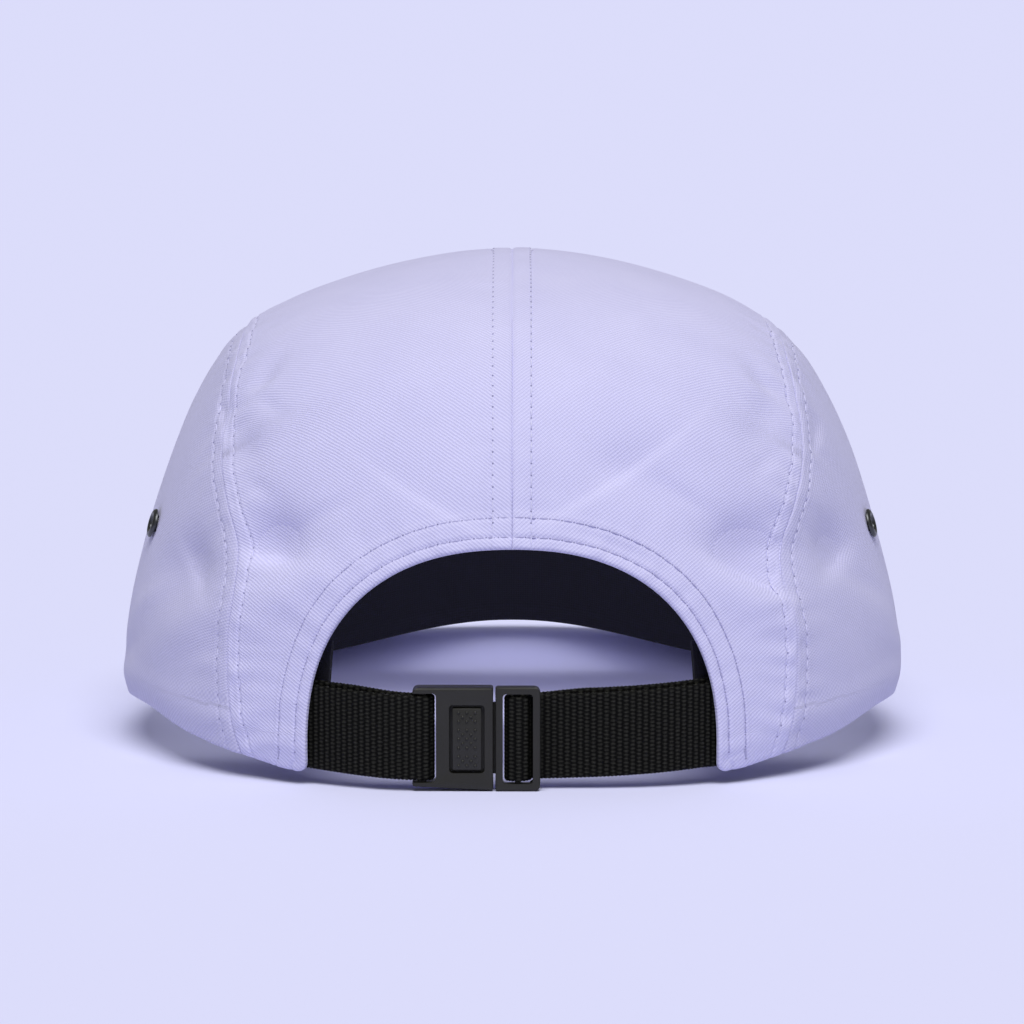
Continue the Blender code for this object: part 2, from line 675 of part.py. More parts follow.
def make_eyelet(side, panel, made_of, cutter_material, parent):
    """A rolled metal eyelet, and the hole for it in its side panel."""
    angle = side * math.radians(EYELET_ANGLE)

    def fall(travel):
        return -smooth_crown((travel * math.sin(angle), travel * math.cos(angle))).z

    travel = solve(fall, 0.4, 1.0, -EYELET_HEIGHT)
    place = Place(travel * math.sin(angle), travel * math.cos(angle))
    outside = crown(place)
    normal = (outside - crown(place, CLOTH)).normalized()
    turned = normal.to_track_quat("Z", "Y").to_matrix().to_4x4()
    stand = Matrix.Translation(outside - normal * CLOTH / 2) @ turned

    half = CLOTH / 2 + EYELET_PLAY
    barrel = EYELET_HOLE_RADIUS + EYELET_BARREL
    outline = [
        (EYELET_HOLE_RADIUS, -half), (EYELET_HOLE_RADIUS, half),
        (barrel, half + EYELET_FLANGE), ((barrel + EYELET_RADIUS) / 2, half + EYELET_FLANGE),
        (EYELET_RADIUS, half + EYELET_FLANGE / 2), (EYELET_RADIUS, half),
        (barrel, half), (barrel, -half),
        (EYELET_RADIUS, -half), (EYELET_RADIUS, -half - EYELET_FLANGE / 2), (barrel, -half - EYELET_FLANGE / 2),
    ]
    bm = bmesh.new()
    verts = [bm.verts.new((radius, 0, height)) for radius, height in outline]
    edges = [bm.edges.new((a, b)) for a, b in zip(verts, verts[1:] + verts[:1])]
    bmesh.ops.spin(bm, geom=verts + edges, axis=(0, 0, 1), cent=(0, 0, 0), angle=2 * math.pi,
                   steps=ROUND_STEPS, use_merge=True)
    bmesh.ops.remove_doubles(bm, verts=bm.verts, dist=0.001)
    bmesh.ops.transform(bm, matrix=stand, verts=bm.verts)
    finished("eyelet_" + ("left" if side > 0 else "right"), bm, made_of, parent)

    drill = bmesh.new()
    radius = (barrel + CLEARANCE) / math.cos(math.pi / ROUND_STEPS)
    bmesh.ops.create_cone(drill, cap_ends=True, segments=ROUND_STEPS, radius1=radius, radius2=radius, depth=8)
    bmesh.ops.transform(drill, matrix=stand, verts=drill.verts)
    name = "eyelet_cutter_" + ("left" if side > 0 else "right")
    add_boolean(panel, finished(name, drill, cutter_material, parent), "DIFFERENCE")


def stand_on_floor(base):
    """Moves the whole cap so that the middle of its lowest level is the origin."""
    bpy.context.view_layer.update()
    corners = []
    for made in bpy.data.objects:
        if made.type == "MESH" and not made.hide_render:
            corners += [made.matrix_world @ vert.co for vert in made.data.vertices]
    low = [min(corner[k] for corner in corners) for k in range(3)]
    high = [max(corner[k] for corner in corners) for k in range(3)]
    base.location -= Vector(((low[0] + high[0]) / 2, (low[1] + high[1]) / 2, low[2]))
    bpy.context.view_layer.update()


def main():
    for old in list(bpy.data.objects):
        bpy.data.objects.remove(old, do_unlink=True)
    cap = bpy.data.objects.new("cap", None)
    bpy.context.scene.collection.objects.link(cap)
    buckle = bpy.data.objects.new("buckle", None)
    bpy.context.scene.collection.objects.link(buckle)
    buckle.parent = cap
    buckle.location = buckle_centre() * MM

    cloth = material("lavender_twill", LAVENDER, 0.85)
    band = material("black_band", BLACK, 0.8)
    webbing = material("black_webbing", BLACK, 0.7)
    plastic = material("grey_plastic", BUCKLE_GREY, 0.42)
    metal = material("gunmetal", GUNMETAL, 0.35, 1.0)

    left, right = make_panels(cloth, cap)
    make_brim(cloth, cap)
    make_sweatband(band, cap)
    make_straps(webbing, cap)
    make_buckle_female(plastic, buckle)
    make_buckle_male(plastic, buckle)
    make_eyelet(1, left, metal, metal, cap)
    make_eyelet(-1, right, metal, metal, cap)
    stand_on_floor(cap)


main()
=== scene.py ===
import math

import bmesh
import bpy
import numpy as np
from mathutils import Matrix, Vector, noise
from mathutils.bvhtree import BVHTree


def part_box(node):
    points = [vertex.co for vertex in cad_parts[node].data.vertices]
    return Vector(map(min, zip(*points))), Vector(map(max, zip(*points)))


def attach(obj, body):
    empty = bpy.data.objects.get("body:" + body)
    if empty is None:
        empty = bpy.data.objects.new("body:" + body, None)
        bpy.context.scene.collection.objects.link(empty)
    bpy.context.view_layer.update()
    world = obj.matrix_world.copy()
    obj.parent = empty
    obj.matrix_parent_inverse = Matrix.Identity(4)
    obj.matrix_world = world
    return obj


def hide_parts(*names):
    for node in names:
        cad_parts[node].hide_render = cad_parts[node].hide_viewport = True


# A five panel cap seen from behind. Lengths here are in millimetres and the cap's own frame, whose origin is
# on the hem's level in the middle of the head. toWorld turns them into the frame's metres.

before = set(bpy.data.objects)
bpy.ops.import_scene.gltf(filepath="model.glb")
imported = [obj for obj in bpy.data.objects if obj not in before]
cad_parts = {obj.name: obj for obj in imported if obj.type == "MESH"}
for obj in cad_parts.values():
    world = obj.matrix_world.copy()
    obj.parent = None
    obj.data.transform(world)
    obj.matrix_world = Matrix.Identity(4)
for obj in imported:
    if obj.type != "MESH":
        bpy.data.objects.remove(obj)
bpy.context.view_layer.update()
mm = 0.001

crown = {
    "width": 188.0, "backReach": 93.0, "frontReach": 96.0, "height": 113.6, "squareness": 2.15,
    "cloth": 1.2,
    "sections": [  # travel from the top to the hem, then shares of the height, the half width and the reaches
        (0.00, 1, 0, 0, 0), (0.12, 0.984, 0.190, 0.205, 0.220),
        (0.24, 0.935, 0.435, 0.440, 0.465), (0.34, 0.873, 0.607, 0.600, 0.650),
        (0.43, 0.795, 0.729, 0.725, 0.780), (0.52, 0.695, 0.808, 0.810, 0.858),
        (0.60, 0.590, 0.864, 0.872, 0.905), (0.68, 0.478, 0.909, 0.920, 0.940),
        (0.76, 0.362, 0.947, 0.957, 0.966), (0.84, 0.245, 0.978, 0.983, 0.985),
        (0.92, 0.125, 0.996, 0.998, 0.997), (0.97, 0.050, 1, 1, 1),
        (1.00, 0, 0.987, 0.992, 0.995),
    ],
    "lifts": [  # degrees from the back, then how far the hem stands up as a share of the height
        (-28, 0), (0, 0), (28, 0), (34, 0.008), (42, 0.026), (53, 0.047), (66, 0.074),
        (88, 0.064), (112, 0.048), (126, 0.046), (150, 0.056), (180, 0.114), (210, 0.056),
    ],
    "folds": [  # angle, height, length, width, lean, depth; lengths are shares of the crown's height
        (38, 0.455, 0.120, 0.055, -6, -0.021), (33, 0.365, 0.130, 0.050, -28, 0.010),
        (60, 0.375, 0.120, 0.065, -12, -0.022), (54, 0.270, 0.130, 0.050, -20, 0.009),
        (52, 0.640, 0.110, 0.045, 20, -0.010), (-41, 0.450, 0.150, 0.060, 4, -0.024),
        (-38, 0.335, 0.150, 0.048, 24, 0.011), (-19, 0.600, 0.150, 0.045, 26, -0.009),
        (-60, 0.420, 0.120, 0.060, 16, -0.016), (-50, 0.690, 0.110, 0.045, -18, -0.010),
        (-28, 0.700, 0.160, 0.060, 12, 0.007), (-74, 0.250, 0.120, 0.060, 8, 0.006),
    ],
}
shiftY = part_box("front_panel")[0].y / mm + crown["frontReach"]


def toWorld(points):
    return (np.asarray(points) + (0, shiftY, shiftZ)) * mm


def smoothCurve(knots, values, at):  # a smooth line through the values at the knots
    knots, values, at = np.asarray(knots, float), np.asarray(values, float), np.asarray(at, float)
    widths = np.diff(knots)
    steps = np.diff(values) / widths
    inner = (steps[:-1] * widths[1:] + steps[1:] * widths[:-1]) / (widths[:-1] + widths[1:])
    slopes = np.concatenate((steps[:1], inner, steps[-1:]))
    i = np.clip(np.searchsorted(knots, at, side="right") - 1, 0, len(widths) - 1)
    t = (at - knots[i]) / widths[i]
    ends = values[i] * (1 + 2 * t) * (1 - t) ** 2 + values[i + 1] * t * t * (3 - 2 * t)
    return ends + widths[i] * (slopes[i] * t * (1 - t) ** 2 - slopes[i + 1] * t * t * (1 - t))


def profile(column, travel):  # the table is mirrored across the top, so that the crown is smooth there
    rows = np.array(crown["sections"])
    sign = 1 if column == 1 else -1
    knots = np.concatenate((-rows[:0:-1, 0], rows[:, 0]))
    values = np.concatenate((sign * rows[:0:-1, column], rows[:, column]))
    return smoothCurve(knots, values, travel)


def bend(value, squareness):
    return np.copysign(np.abs(value) ** (2 / squareness), value)


def turned(angle):  # degrees from the back, -180 to 180
    return (np.degrees(angle) + 180) % 360 - 180


def hemLift(angle):
    return crown["height"] * smoothCurve(*zip(*crown["lifts"]), np.abs(turned(angle)))


def smoothCrown(places):  # places are rows of across and along on the crown laid out as a disc
    across, along = places[..., 0], places[..., 1]
    travel, angle = np.hypot(across, along), np.arctan2(across, along)
    front, back = crown["frontReach"] * profile(4, travel), crown["backReach"] * profile(3, travel)
    x = crown["width"] / 2 * profile(2, travel) * bend(np.sin(angle), crown["squareness"])
    y = np.where(np.cos(angle) < 0, front, back) * bend(np.cos(angle), crown["squareness"])
    z = crown["height"] * profile(1, travel) + hemLift(angle) * travel**5
    return np.stack((x, y, z), -1)


def unit(vectors):
    return vectors / np.maximum(np.linalg.norm(vectors, axis=-1, keepdims=True), 1e-9)


def crownSlopes(places, nudge=0.004):  # sideways and backwards
    side, back = np.array((nudge, 0)), np.array((0, nudge))
    return [(smoothCrown(places + step) - smoothCrown(places - step)) / (2 * nudge) for step in (side, back)]


def crownNormals(places):
    return unit(np.cross(*crownSlopes(places)))


def foldPush(places, points, folds, crisp=1.0):  # crisp folds rise more steeply on their lower side
    turn = turned(np.arctan2(places[..., 0], places[..., 1]))
    height = crown["height"]
    push = np.zeros(turn.shape)
    for angle, level, length, width, lean, depth in folds:
        sideways = np.radians(turn - angle) * crown["width"] / 2
        up = points[..., 2] - level * height
        c, s = math.cos(math.radians(lean)), math.sin(math.radians(lean))
        along = (sideways * c + up * s) / (length * height)
        across = (up * c - sideways * s) / (width * height)
        across = np.where(across < 0, across * crisp, across)
        push += depth * height * np.exp(-along * along - across * across)
    return push


def onHem(angle):
    return np.stack((np.sin(angle), np.cos(angle)), -1)


def solve(function, low, high, target):  # where a rising function meets the target, for whole arrays
    low, high = np.broadcast_arrays(np.asarray(low, float), np.asarray(target, float) * 0 + high)
    for _ in range(40):
        middle = (low + high) / 2
        less = function(middle) < target
        low, high = np.where(less, middle, low), np.where(less, high, middle)
    return (low + high) / 2


def angleAt(x, travel):
    share = np.minimum(np.abs(x) / (crown["width"] / 2 * profile(2, travel)), 1.0)
    return np.arcsin(np.copysign(share ** (crown["squareness"] / 2), x))


def placeFor(angleOf, height, low):  # the place at this height, where the angle can follow from the travel
    def fall(travel):
        return -smoothCrown(onHem(angleOf(travel)) * travel[..., None])[..., 2]

    travel = solve(fall, low, 1.0, -np.asarray(height, float))
    return onHem(angleOf(travel)) * travel[..., None]


def placeAt(x, height):  # the place on the back of the crown at this sideways position and height
    return placeFor(lambda travel: angleAt(x, travel), height, 0.5)


def placeBelow(angle, height):  # the place at this angle and height
    return placeFor(lambda travel: angle, height, 0.4)


# Seam lines

seams = {
    "low": [(0.656, 0.755), (0.634, 0.680), (0.597, 0.612), (0.545, 0.553), (0.513, 0.482), (0.505, 0.410),
            (0.496, 0.338), (0.476, 0.277), (0.445, 0.219), (0.413, 0.150), (0.396, 0.060)],
    "high": [(0.396, 0.060), (0.390, -0.110), (0.396, -0.260), (0.415, -0.400)],
    "cross": [(0.000, -0.440), (0.215, -0.432), (0.415, -0.400)],
    "brimHalfAngle": 55.0,
    "step": 0.25,
}
arch = {"width": 95.0, "height": 52.7, "spring": 7.0, "squareness": 2.3, "cornerRound": 2.6}


def runOf(points):  # how far along the line each of its points is
    return np.concatenate(([0], np.cumsum(np.linalg.norm(np.diff(points, axis=0), axis=1))))


def straight(run, points, stops):  # where the line is at the stops, straight between its points
    return np.stack([np.interp(stops, run, column) for column in points.T], -1)


def smooth(run, points, stops):  # the same on a smooth line
    return np.stack([smoothCurve(run, column, stops) for column in points.T], -1)


def resampled(places):  # equal steps along a smooth line through the places
    places = np.array(places, float)
    run = runOf(places)
    return evenly(smooth(run, places, np.linspace(0, run[-1], 400)))


def evenly(line):  # equal steps in millimetres over the crown
    run = runOf(smoothCrown(line))
    stops = np.linspace(0, run[-1], max(int(run[-1] / seams["step"]), 2) + 1)
    return straight(run, line, stops)


def flipped(places):
    return places * (-1, 1)


def forHand(places, hand):  # places on the wearer's left, or the same on the right
    return places if hand > 0 else flipped(places)


def archLine():  # the rear opening's edge from its top down to the hem, on the wearer's left
    reach, spring = arch["width"] / 2, arch["spring"]
    turn = np.radians(np.linspace(90, 0, 160))
    x = reach * bend(np.cos(turn), arch["squareness"])
    z = spring + (arch["height"] - spring) * bend(np.sin(turn), arch["squareness"])
    side = np.linspace(spring, 0.02, 12)[1:]
    x = np.concatenate((x, np.full(len(side), reach)))
    z = np.concatenate((z, side))
    line = placeAt(x, z)
    return np.concatenate((line, onHem(angleAt(reach, np.array([1.0])))))


def roundedCorner(first, second, reach):  # two lines that now meet in the middle of a bend round their corner
    steps = int(reach / seams["step"])
    start, corner, end = first[-1 - steps], first[-1], second[steps]
    t = np.linspace(0, 1, 2 * steps + 1)[:, None]
    curve = (1 - t) ** 2 * start + 2 * t * (1 - t) * corner + t * t * end
    first = np.concatenate((first[:-1 - steps], curve[:steps + 1]))
    second = np.concatenate((curve[steps:], second[steps + 1:]))
    return evenly(first), evenly(second)


lines = {name: resampled(seams[name]) for name in ("low", "high", "cross")}
lines["arch"] = evenly(archLine())
lines["low"][0] /= np.hypot(*lines["low"][0])
backFoot = np.arctan2(*lines["arch"][-1])
seamFoot = np.arctan2(*lines["low"][0])
frontFoot = math.pi - math.radians(seams["brimHalfAngle"])
lines["foot"] = evenly(onHem(np.linspace(backFoot, seamFoot, 60)))
lines["arch"], lines["foot"] = roundedCorner(lines["arch"], lines["foot"], arch["cornerRound"])
lines["sideHem"] = evenly(onHem(np.linspace(seamFoot, frontFoot, 200)))
lines["frontHem"] = evenly(onHem(np.linspace(frontFoot, 2 * math.pi - frontFoot, 300)))
lines["front"] = resampled([lines["sideHem"][-1], lines["high"][-1]])
lines["centre"] = resampled([lines["arch"][0], (0, 0.1), seams["cross"][0]])
lines["side"] = np.concatenate((lines["low"], lines["high"][1:]))
lines["wholeCross"] = np.concatenate((lines["cross"][::-1], flipped(lines["cross"])[1:]))

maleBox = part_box("buckle_male")
strap = {"height": 11.15, "sag": 1.8, "bulge": 7.6, "width": 19.6, "thickness": 1.2, "hidden": 7.0,
         "clearance": 0.3, "column": 1.5, "dash": 0.9, "relief": 0.20, "cell": 0.3,
         "rearLift": 0.9, "liftFrom": 7.0, "liftTo": 22.0, "edge": 0.5, "scallop": 0.10, "thinnest": 0.12}
shiftZ = (maleBox[0].z + maleBox[1].z) / 2 / mm - (strap["height"] - strap["sag"])


# Materials

class Wire:  # an output socket that takes part in sums
    def __init__(self, paint, socket):
        self.paint, self.socket = paint, socket

    def sum(self, operation, other):
        return self.paint.add("ShaderNodeMath", {"operation": operation}, {0: self, 1: other})

    def __add__(self, other):
        return self.sum("ADD", other)

    def __sub__(self, other):
        return self.sum("SUBTRACT", other)

    def __mul__(self, other):
        return self.sum("MULTIPLY", other)


class Paint:  # one material and its nodes
    def __init__(self, name, roughness, metallic=0.0, sheen=0.0, specular=0.5):
        self.material = bpy.data.materials.new(name)
        self.material.use_nodes = True
        self.tree = self.material.node_tree
        self.shader = self.tree.nodes["Principled BSDF"]
        for key, value in (("Roughness", roughness), ("Metallic", metallic), ("Sheen Weight", sheen),
                           ("Sheen Roughness", 0.5), ("Specular IOR Level", specular)):
            self.shader.inputs[key].default_value = value

    def feed(self, socket, value):
        if isinstance(value, Wire):
            self.tree.links.new(value.socket, socket)
        else:
            socket.default_value = value

    def add(self, kind, settings=None, inputs=None, output=0):
        node = self.tree.nodes.new(kind)
        for key, value in (settings or {}).items():
            setattr(node, key, value)
        for key, value in (inputs or {}).items():
            self.feed(node.inputs[key], value)
        return Wire(self, node.outputs[output])

    def wave(self, phase):  # -1 to 1, once for each whole number of phase
        return self.add("ShaderNodeMath", {"operation": "SINE"}, {0: phase * (2 * math.pi)})

    def noise(self, vector, scale, detail=2.0):  # about -0.5 to 0.5
        inputs = {"Vector": vector, "Scale": scale, "Detail": detail}
        return self.add("ShaderNodeTexNoise", None, inputs) - 0.5

    def blend(self, share, first, second):
        settings = {"data_type": "RGBA", "clamp_factor": True}
        return self.add("ShaderNodeMix", settings, {0: share, 6: (*first, 1), 7: (*second, 1)}, 2)

    def clothSpace(self):  # the cloth's own UV, and its two parts
        vector = self.add("ShaderNodeUVMap", {"uv_map": "cloth"})
        split = self.add("ShaderNodeSeparateXYZ", None, {0: vector})
        return vector, split, Wire(self, split.socket.node.outputs[1])

    def objectSpace(self):
        return self.add("ShaderNodeTexCoord", None, None, 3)

    def finish(self, colour, height, distance, roughness=None):
        self.feed(self.shader.inputs["Base Color"], colour)
        bump = self.add("ShaderNodeBump", None, {"Strength": 1.0, "Distance": distance, "Height": height})
        self.feed(self.shader.inputs["Normal"], bump)
        if roughness is not None:
            self.feed(self.shader.inputs["Roughness"], roughness)
        return self.material


twill = {"pitch": 0.72, "yarn": 0.38, "light": (0.688, 0.675, 0.925), "dark": (0.488, 0.475, 0.742),
         "relief": 0.00018}


# shade scales both twill colours down; below 1 it is painted shade, darker cloth where less light falls
def makeTwill(name, angle, crossing, shade=1.0):  # UV in centimetres, the wales' angle from level in degrees
    paint = Paint(name, 0.82, sheen=0.15, specular=0.25)
    vector, u, v = paint.clothSpace()
    c, s = math.cos(math.radians(angle)), math.sin(math.radians(angle))
    wobble = paint.noise(vector, 1.4, 3.0) * 0.9 + paint.noise(vector, 9.0) * 0.25
    wales, yarns = 10 / twill["pitch"], 10 / twill["yarn"]
    wale = paint.wave(u * (-s * wales) + v * (c * wales) + wobble)
    yarn = paint.wave(u * (c * yarns) + v * (s * yarns) + wobble)
    weft = paint.wave(u * (s * wales) + v * (c * wales) + wobble)
    height = wale * (0.40 - 0.22 * crossing) + weft * (0.22 * crossing) + yarn * 0.12
    patches = paint.noise(vector, 0.55, 3.0) * 0.35 + paint.noise(vector, 30.0) * 0.35
    share = height * 0.85 + patches + 0.58
    colour = paint.blend(share, *(tuple(part * shade for part in twill[k]) for k in ("dark", "light")))
    return paint.finish(colour, height * 0.5 + 0.5, twill["relief"], paint.noise(vector, 6.0) * 0.12 + 0.82)


def makeThread(name, light, dark):
    paint = Paint(name, 0.55, sheen=0.2, specular=0.4)
    grain = paint.noise(paint.objectSpace(), 900.0)
    return paint.finish(paint.blend(grain + 0.6, dark, light), grain, 0.00004)


def makeBlackCloth(name, ribPitch, light, dark):
    paint = Paint(name, 0.85, sheen=0.1, specular=0.3)
    vector, u, v = paint.clothSpace()
    ribs = paint.wave(u * (10 / ribPitch)) * 0.5 + paint.wave(v * (10 / ribPitch)) * 0.5
    grain = paint.noise(vector, 24.0)
    return paint.finish(paint.blend(ribs * 0.4 + grain + 0.5, dark, light), ribs + grain, 0.00004)


def makeWebbing(name):
    paint = Paint(name, 0.62, specular=0.07)
    vector, u, v = paint.clothSpace()
    yarn = paint.wave(u * (10 / 0.42) + v * (10 / 0.30))
    grain = paint.noise(vector, 18.0, 3.0)
    share = paint.add("ShaderNodeAttribute", {"attribute_name": "weave"}, None, 2)
    dark, light = (0.0010, 0.0010, 0.0009), (0.034, 0.034, 0.029)
    colour = paint.blend(share * 1.5 + grain * 1.1 + yarn * 0.15 - 0.55, dark, light)
    return paint.finish(colour, yarn * 0.35 + grain, 0.00005, grain * 0.2 + 0.6)


def makePlastic(name):
    paint = Paint(name, 0.40, specular=0.38)
    place = paint.objectSpace()
    grain = paint.noise(place, 2600.0)
    cloud = paint.noise(place, 160.0, 3.0)
    colour = paint.blend(cloud + 0.5, (0.0155, 0.0150, 0.0125), (0.0225, 0.0220, 0.0185))
    return paint.finish(colour, grain, 0.000022, cloud * 0.12 + 0.42)


def makeMetal(name):
    paint = Paint(name, 0.32, metallic=1.0)
    grain = paint.noise(paint.objectSpace(), 1500.0, 3.0)
    colour = paint.blend(grain + 0.5, (0.055, 0.057, 0.060), (0.105, 0.108, 0.112))
    return paint.finish(colour, grain, 0.00002, grain * 0.2 + 0.34)


materials = {
    "twillLeft": makeTwill("lavenderTwillLeft", 39, 0.1),
    "twillRight": makeTwill("lavenderTwillRight", -41, 0.4),
    # the side panels, the front panel and the brim share this twill at 0.88 of the colour: painted shade for
    # the sides, which take less light
    "twillPaintedShade": makeTwill("lavenderTwillPaintedShade", 35, 0.7, 0.88),
    "thread": makeThread("lavenderThread", (0.700, 0.688, 0.900), (0.540, 0.528, 0.790)),
    # the arch's rows get a darker copy of the seam thread: painted shade on the stitches along the arch
    "archThread": makeThread("shadedArchThread", (0.430, 0.419, 0.660), (0.310, 0.300, 0.530)),
    # dark dots at the ends of the stitches: painted shade in the needle holes
    "needleHoleShade": makeThread("needleHoleShade", (0.290, 0.281, 0.480), (0.230, 0.222, 0.400)),
    "band": makeBlackCloth("blackBand", 0.6, (0.0175, 0.0170, 0.0290), (0.0100, 0.0098, 0.0170)),
    "webbing": makeWebbing("blackWebbing"),
    "plastic": makePlastic("greyPlastic"),
    "metal": makeMetal("gunmetal"),
}
print("materials are ready")


# Walls of cloth

def meshOf(bm, name):
    mesh = bpy.data.meshes.new(name)
    bm.to_mesh(mesh)
    bm.free()
    return mesh


def addObject(name, data):
    made = bpy.data.objects.new(name, data)
    bpy.context.scene.collection.objects.link(made)
    return made


def keep(mesh, material):  # adds a mesh to the scene as a piece of the cap's one body
    mesh.materials.append(material)
    made = addObject(mesh.name, mesh)
    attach(made, "root")
    return made


def finishMesh(mesh, material, node, sharpAngle=50):
    bm = bmesh.new()
    bm.from_mesh(mesh)
    bmesh.ops.recalc_face_normals(bm, faces=bm.faces)
    if bm.calc_volume(signed=True) < 0:
        bmesh.ops.reverse_faces(bm, faces=bm.faces)
    bm.to_mesh(mesh)
    bm.free()
    mesh.shade_smooth()
    mesh.set_sharp_from_angle(angle=math.radians(sharpAngle))
    made = keep(mesh, material)
    if node:
        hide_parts(node)


def makeWall(name, outer, inner, uv, holes=(), share=None):
    # A closed wall between two grids of points, with a UV for each place of the grid.
    across, up = outer.shape[0] - 1, outer.shape[1] - 1
    bm = bmesh.new()
    bmesh.ops.create_grid(bm, x_segments=across, y_segments=up, size=1)
    rim = [edge for edge in bm.edges if edge.is_boundary]
    copy = bmesh.ops.duplicate(bm, geom=bm.verts[:] + bm.edges[:] + bm.faces[:])["vert_map"]
    for edge in rim:
        a, b = edge.verts
        bm.faces.new((a, b, copy[b], copy[a]))
    mesh = meshOf(bm, name)
    count = (across + 1) * (up + 1)
    flat = np.zeros(len(mesh.vertices) * 3, np.float32)
    mesh.vertices.foreach_get("co", flat)
    flat = flat.reshape(-1, 3)
    i = np.rint((flat[:, 0] + 1) / 2 * across).astype(int)
    j = np.rint((flat[:, 1] + 1) / 2 * up).astype(int)
    places = outer[i, j].copy()
    places[count:] = inner[i[count:], j[count:]]
    mesh.vertices.foreach_set("co", toWorld(places).astype(np.float32).ravel())
    corners = np.zeros(len(mesh.loops), np.int32)
    mesh.loops.foreach_get("vertex_index", corners)
    layer = mesh.uv_layers.new(name="cloth")
    layer.data.foreach_set("uv", (uv[i, j][corners] / 10).astype(np.float32).ravel())
    if share is not None:
        values = mesh.attributes.new("weave", "FLOAT", "POINT")
        values.data.foreach_set("value", share[i, j].astype(np.float32))
    for centre, radius in holes:
        cutHole(mesh, Vector(toWorld(centre)), radius * mm)
    return mesh


def cutHole(mesh, centre, radius):  # takes out both skins round an eyelet's barrel and joins the two rims
    bm = bmesh.new()
    bm.from_mesh(mesh)
    inside = [face for face in bm.faces if (face.calc_center_median() - centre).length < radius]
    bmesh.ops.delete(bm, geom=inside, context="FACES")
    bmesh.ops.bridge_loops(bm, edges=[edge for edge in bm.edges if edge.is_boundary])
    bm.to_mesh(mesh)
    bm.free()


def dense(count, pull):  # shares from 0 to 1 with closer steps at both ends
    t = np.linspace(0, 1, count + 1)
    return t - pull * np.sin(2 * math.pi * t) / (2 * math.pi)


def atShares(line, shares):
    run = runOf(smoothCrown(line))
    return straight(run, line, shares * run[-1])


def patch(bottom, top, left, right, us, vs):  # a grid of places between four lines that share their ends
    b, t = atShares(bottom, us)[:, None], atShares(top, us)[:, None]
    l, r = atShares(left, vs)[None], atShares(right, vs)[None]
    u, v = us[:, None, None], vs[None, :, None]
    corners = (1 - v) * ((1 - u) * b[:1] + u * b[-1:]) + v * ((1 - u) * t[:1] + u * t[-1:])
    return (1 - v) * b + v * t + (1 - u) * l + u * r - corners


def nearest(points, samples):
    # For each point its distance from a line of samples, and how far along the line that is.
    run = runOf(samples)
    tangents = unit(np.gradient(samples, axis=0))
    flat = points.reshape(-1, 3)
    best = np.zeros(len(flat), int)
    batch = 4000  # points at a time, to save memory
    for start in range(0, len(flat), batch):
        part = flat[start:start + batch]
        gaps = (part * part).sum(1)[:, None] + (samples * samples).sum(1)[None] - 2 * part @ samples.T
        best[start:start + batch] = gaps.argmin(1)
    away = flat - samples[best]
    ahead = (away * tangents[best]).sum(1)
    ahead = np.clip(ahead, -2 * seams["step"], 2 * seams["step"])
    away -= tangents[best] * ahead[:, None]
    distance = np.linalg.norm(away, axis=1)
    return distance.reshape(points.shape[:-1]), (run[best] + ahead).reshape(points.shape[:-1])


def ramp(value, low, high):
    t = np.clip((value - low) / (high - low), 0, 1)
    return t * t * (3 - 2 * t)


def rolled(away, radius):  # how far a round edge falls back at this distance from the rim
    return radius - np.sqrt(radius**2 - np.clip(radius - away, 0, radius) ** 2)


ripple = {"length": 3.6, "reach": 16.0, "strength": 1.6, "seedStep": 7.3}


def wander(along, away, seed):  # smooth irregular ripples, about -1 to 1
    flat = np.stack((along.ravel() / ripple["length"], away.ravel() / ripple["reach"]), -1)
    values = [noise.noise((a, b, seed * ripple["seedStep"])) for a, b in flat]
    return np.array(values).reshape(along.shape) * ripple["strength"]


tops = {  # rows of topstitching beside each seam, how far from its ends they stop, and the relief round them
    "centre": {"rows": (5.0,), "ends": (0.6, 3.6), "lift": 0.18, "pucker": 0.15, "reach": 9.0},
    "side": {"rows": (3.5,), "ends": (1.0, 3.6), "lift": 0.16, "pucker": 0.46, "reach": 10.0},
    "cross": {"rows": (3.5,), "ends": (2.0, 2.0), "lift": 0.18, "pucker": 0.22, "reach": 9.0},
    "front": {"rows": (3.5,), "ends": (1.0, 1.0), "lift": 0.18, "pucker": 0.24, "reach": 9.0},
    "arch": {"rows": (2.8, 7.4), "ends": (0.3, 0.6), "lift": 0.30, "pucker": 0.30, "reach": 13.0},
    "hem": {"rows": (), "lift": 0.10, "pucker": 0.05, "reach": 8.0, "fold": 5.0, "fade": 6.0},
}
stitch = {"pitch": 2.8, "length": 2.1, "width": 0.42, "height": 0.30, "proud": 0.42, "dip": 0.31,
          "dipWidth": 0.48, "hole": 0.23, "holeDepth": 0.12, "longest": 3.2}


def seamPush(points, line, kind, seed):
    rows = tops[kind]
    away, along = nearest(points, smoothCrown(line))
    last = rows["rows"][-1] if rows["rows"] else rows["fold"]
    push = rows["lift"] * ramp(away, 0.0, 0.8) * (1 - ramp(away, last + 0.2, last + rows.get("fade", 1.5)))
    for row in rows["rows"]:
        push -= stitch["dip"] * np.exp(-((away - row) / stitch["dipWidth"]) ** 2)
    fade = np.exp(-((away / rows["reach"]) ** 2)) * ramp(away, 0.0, 2.0)
    return push + rows["pucker"] * fade * wander(along, away, seed), away


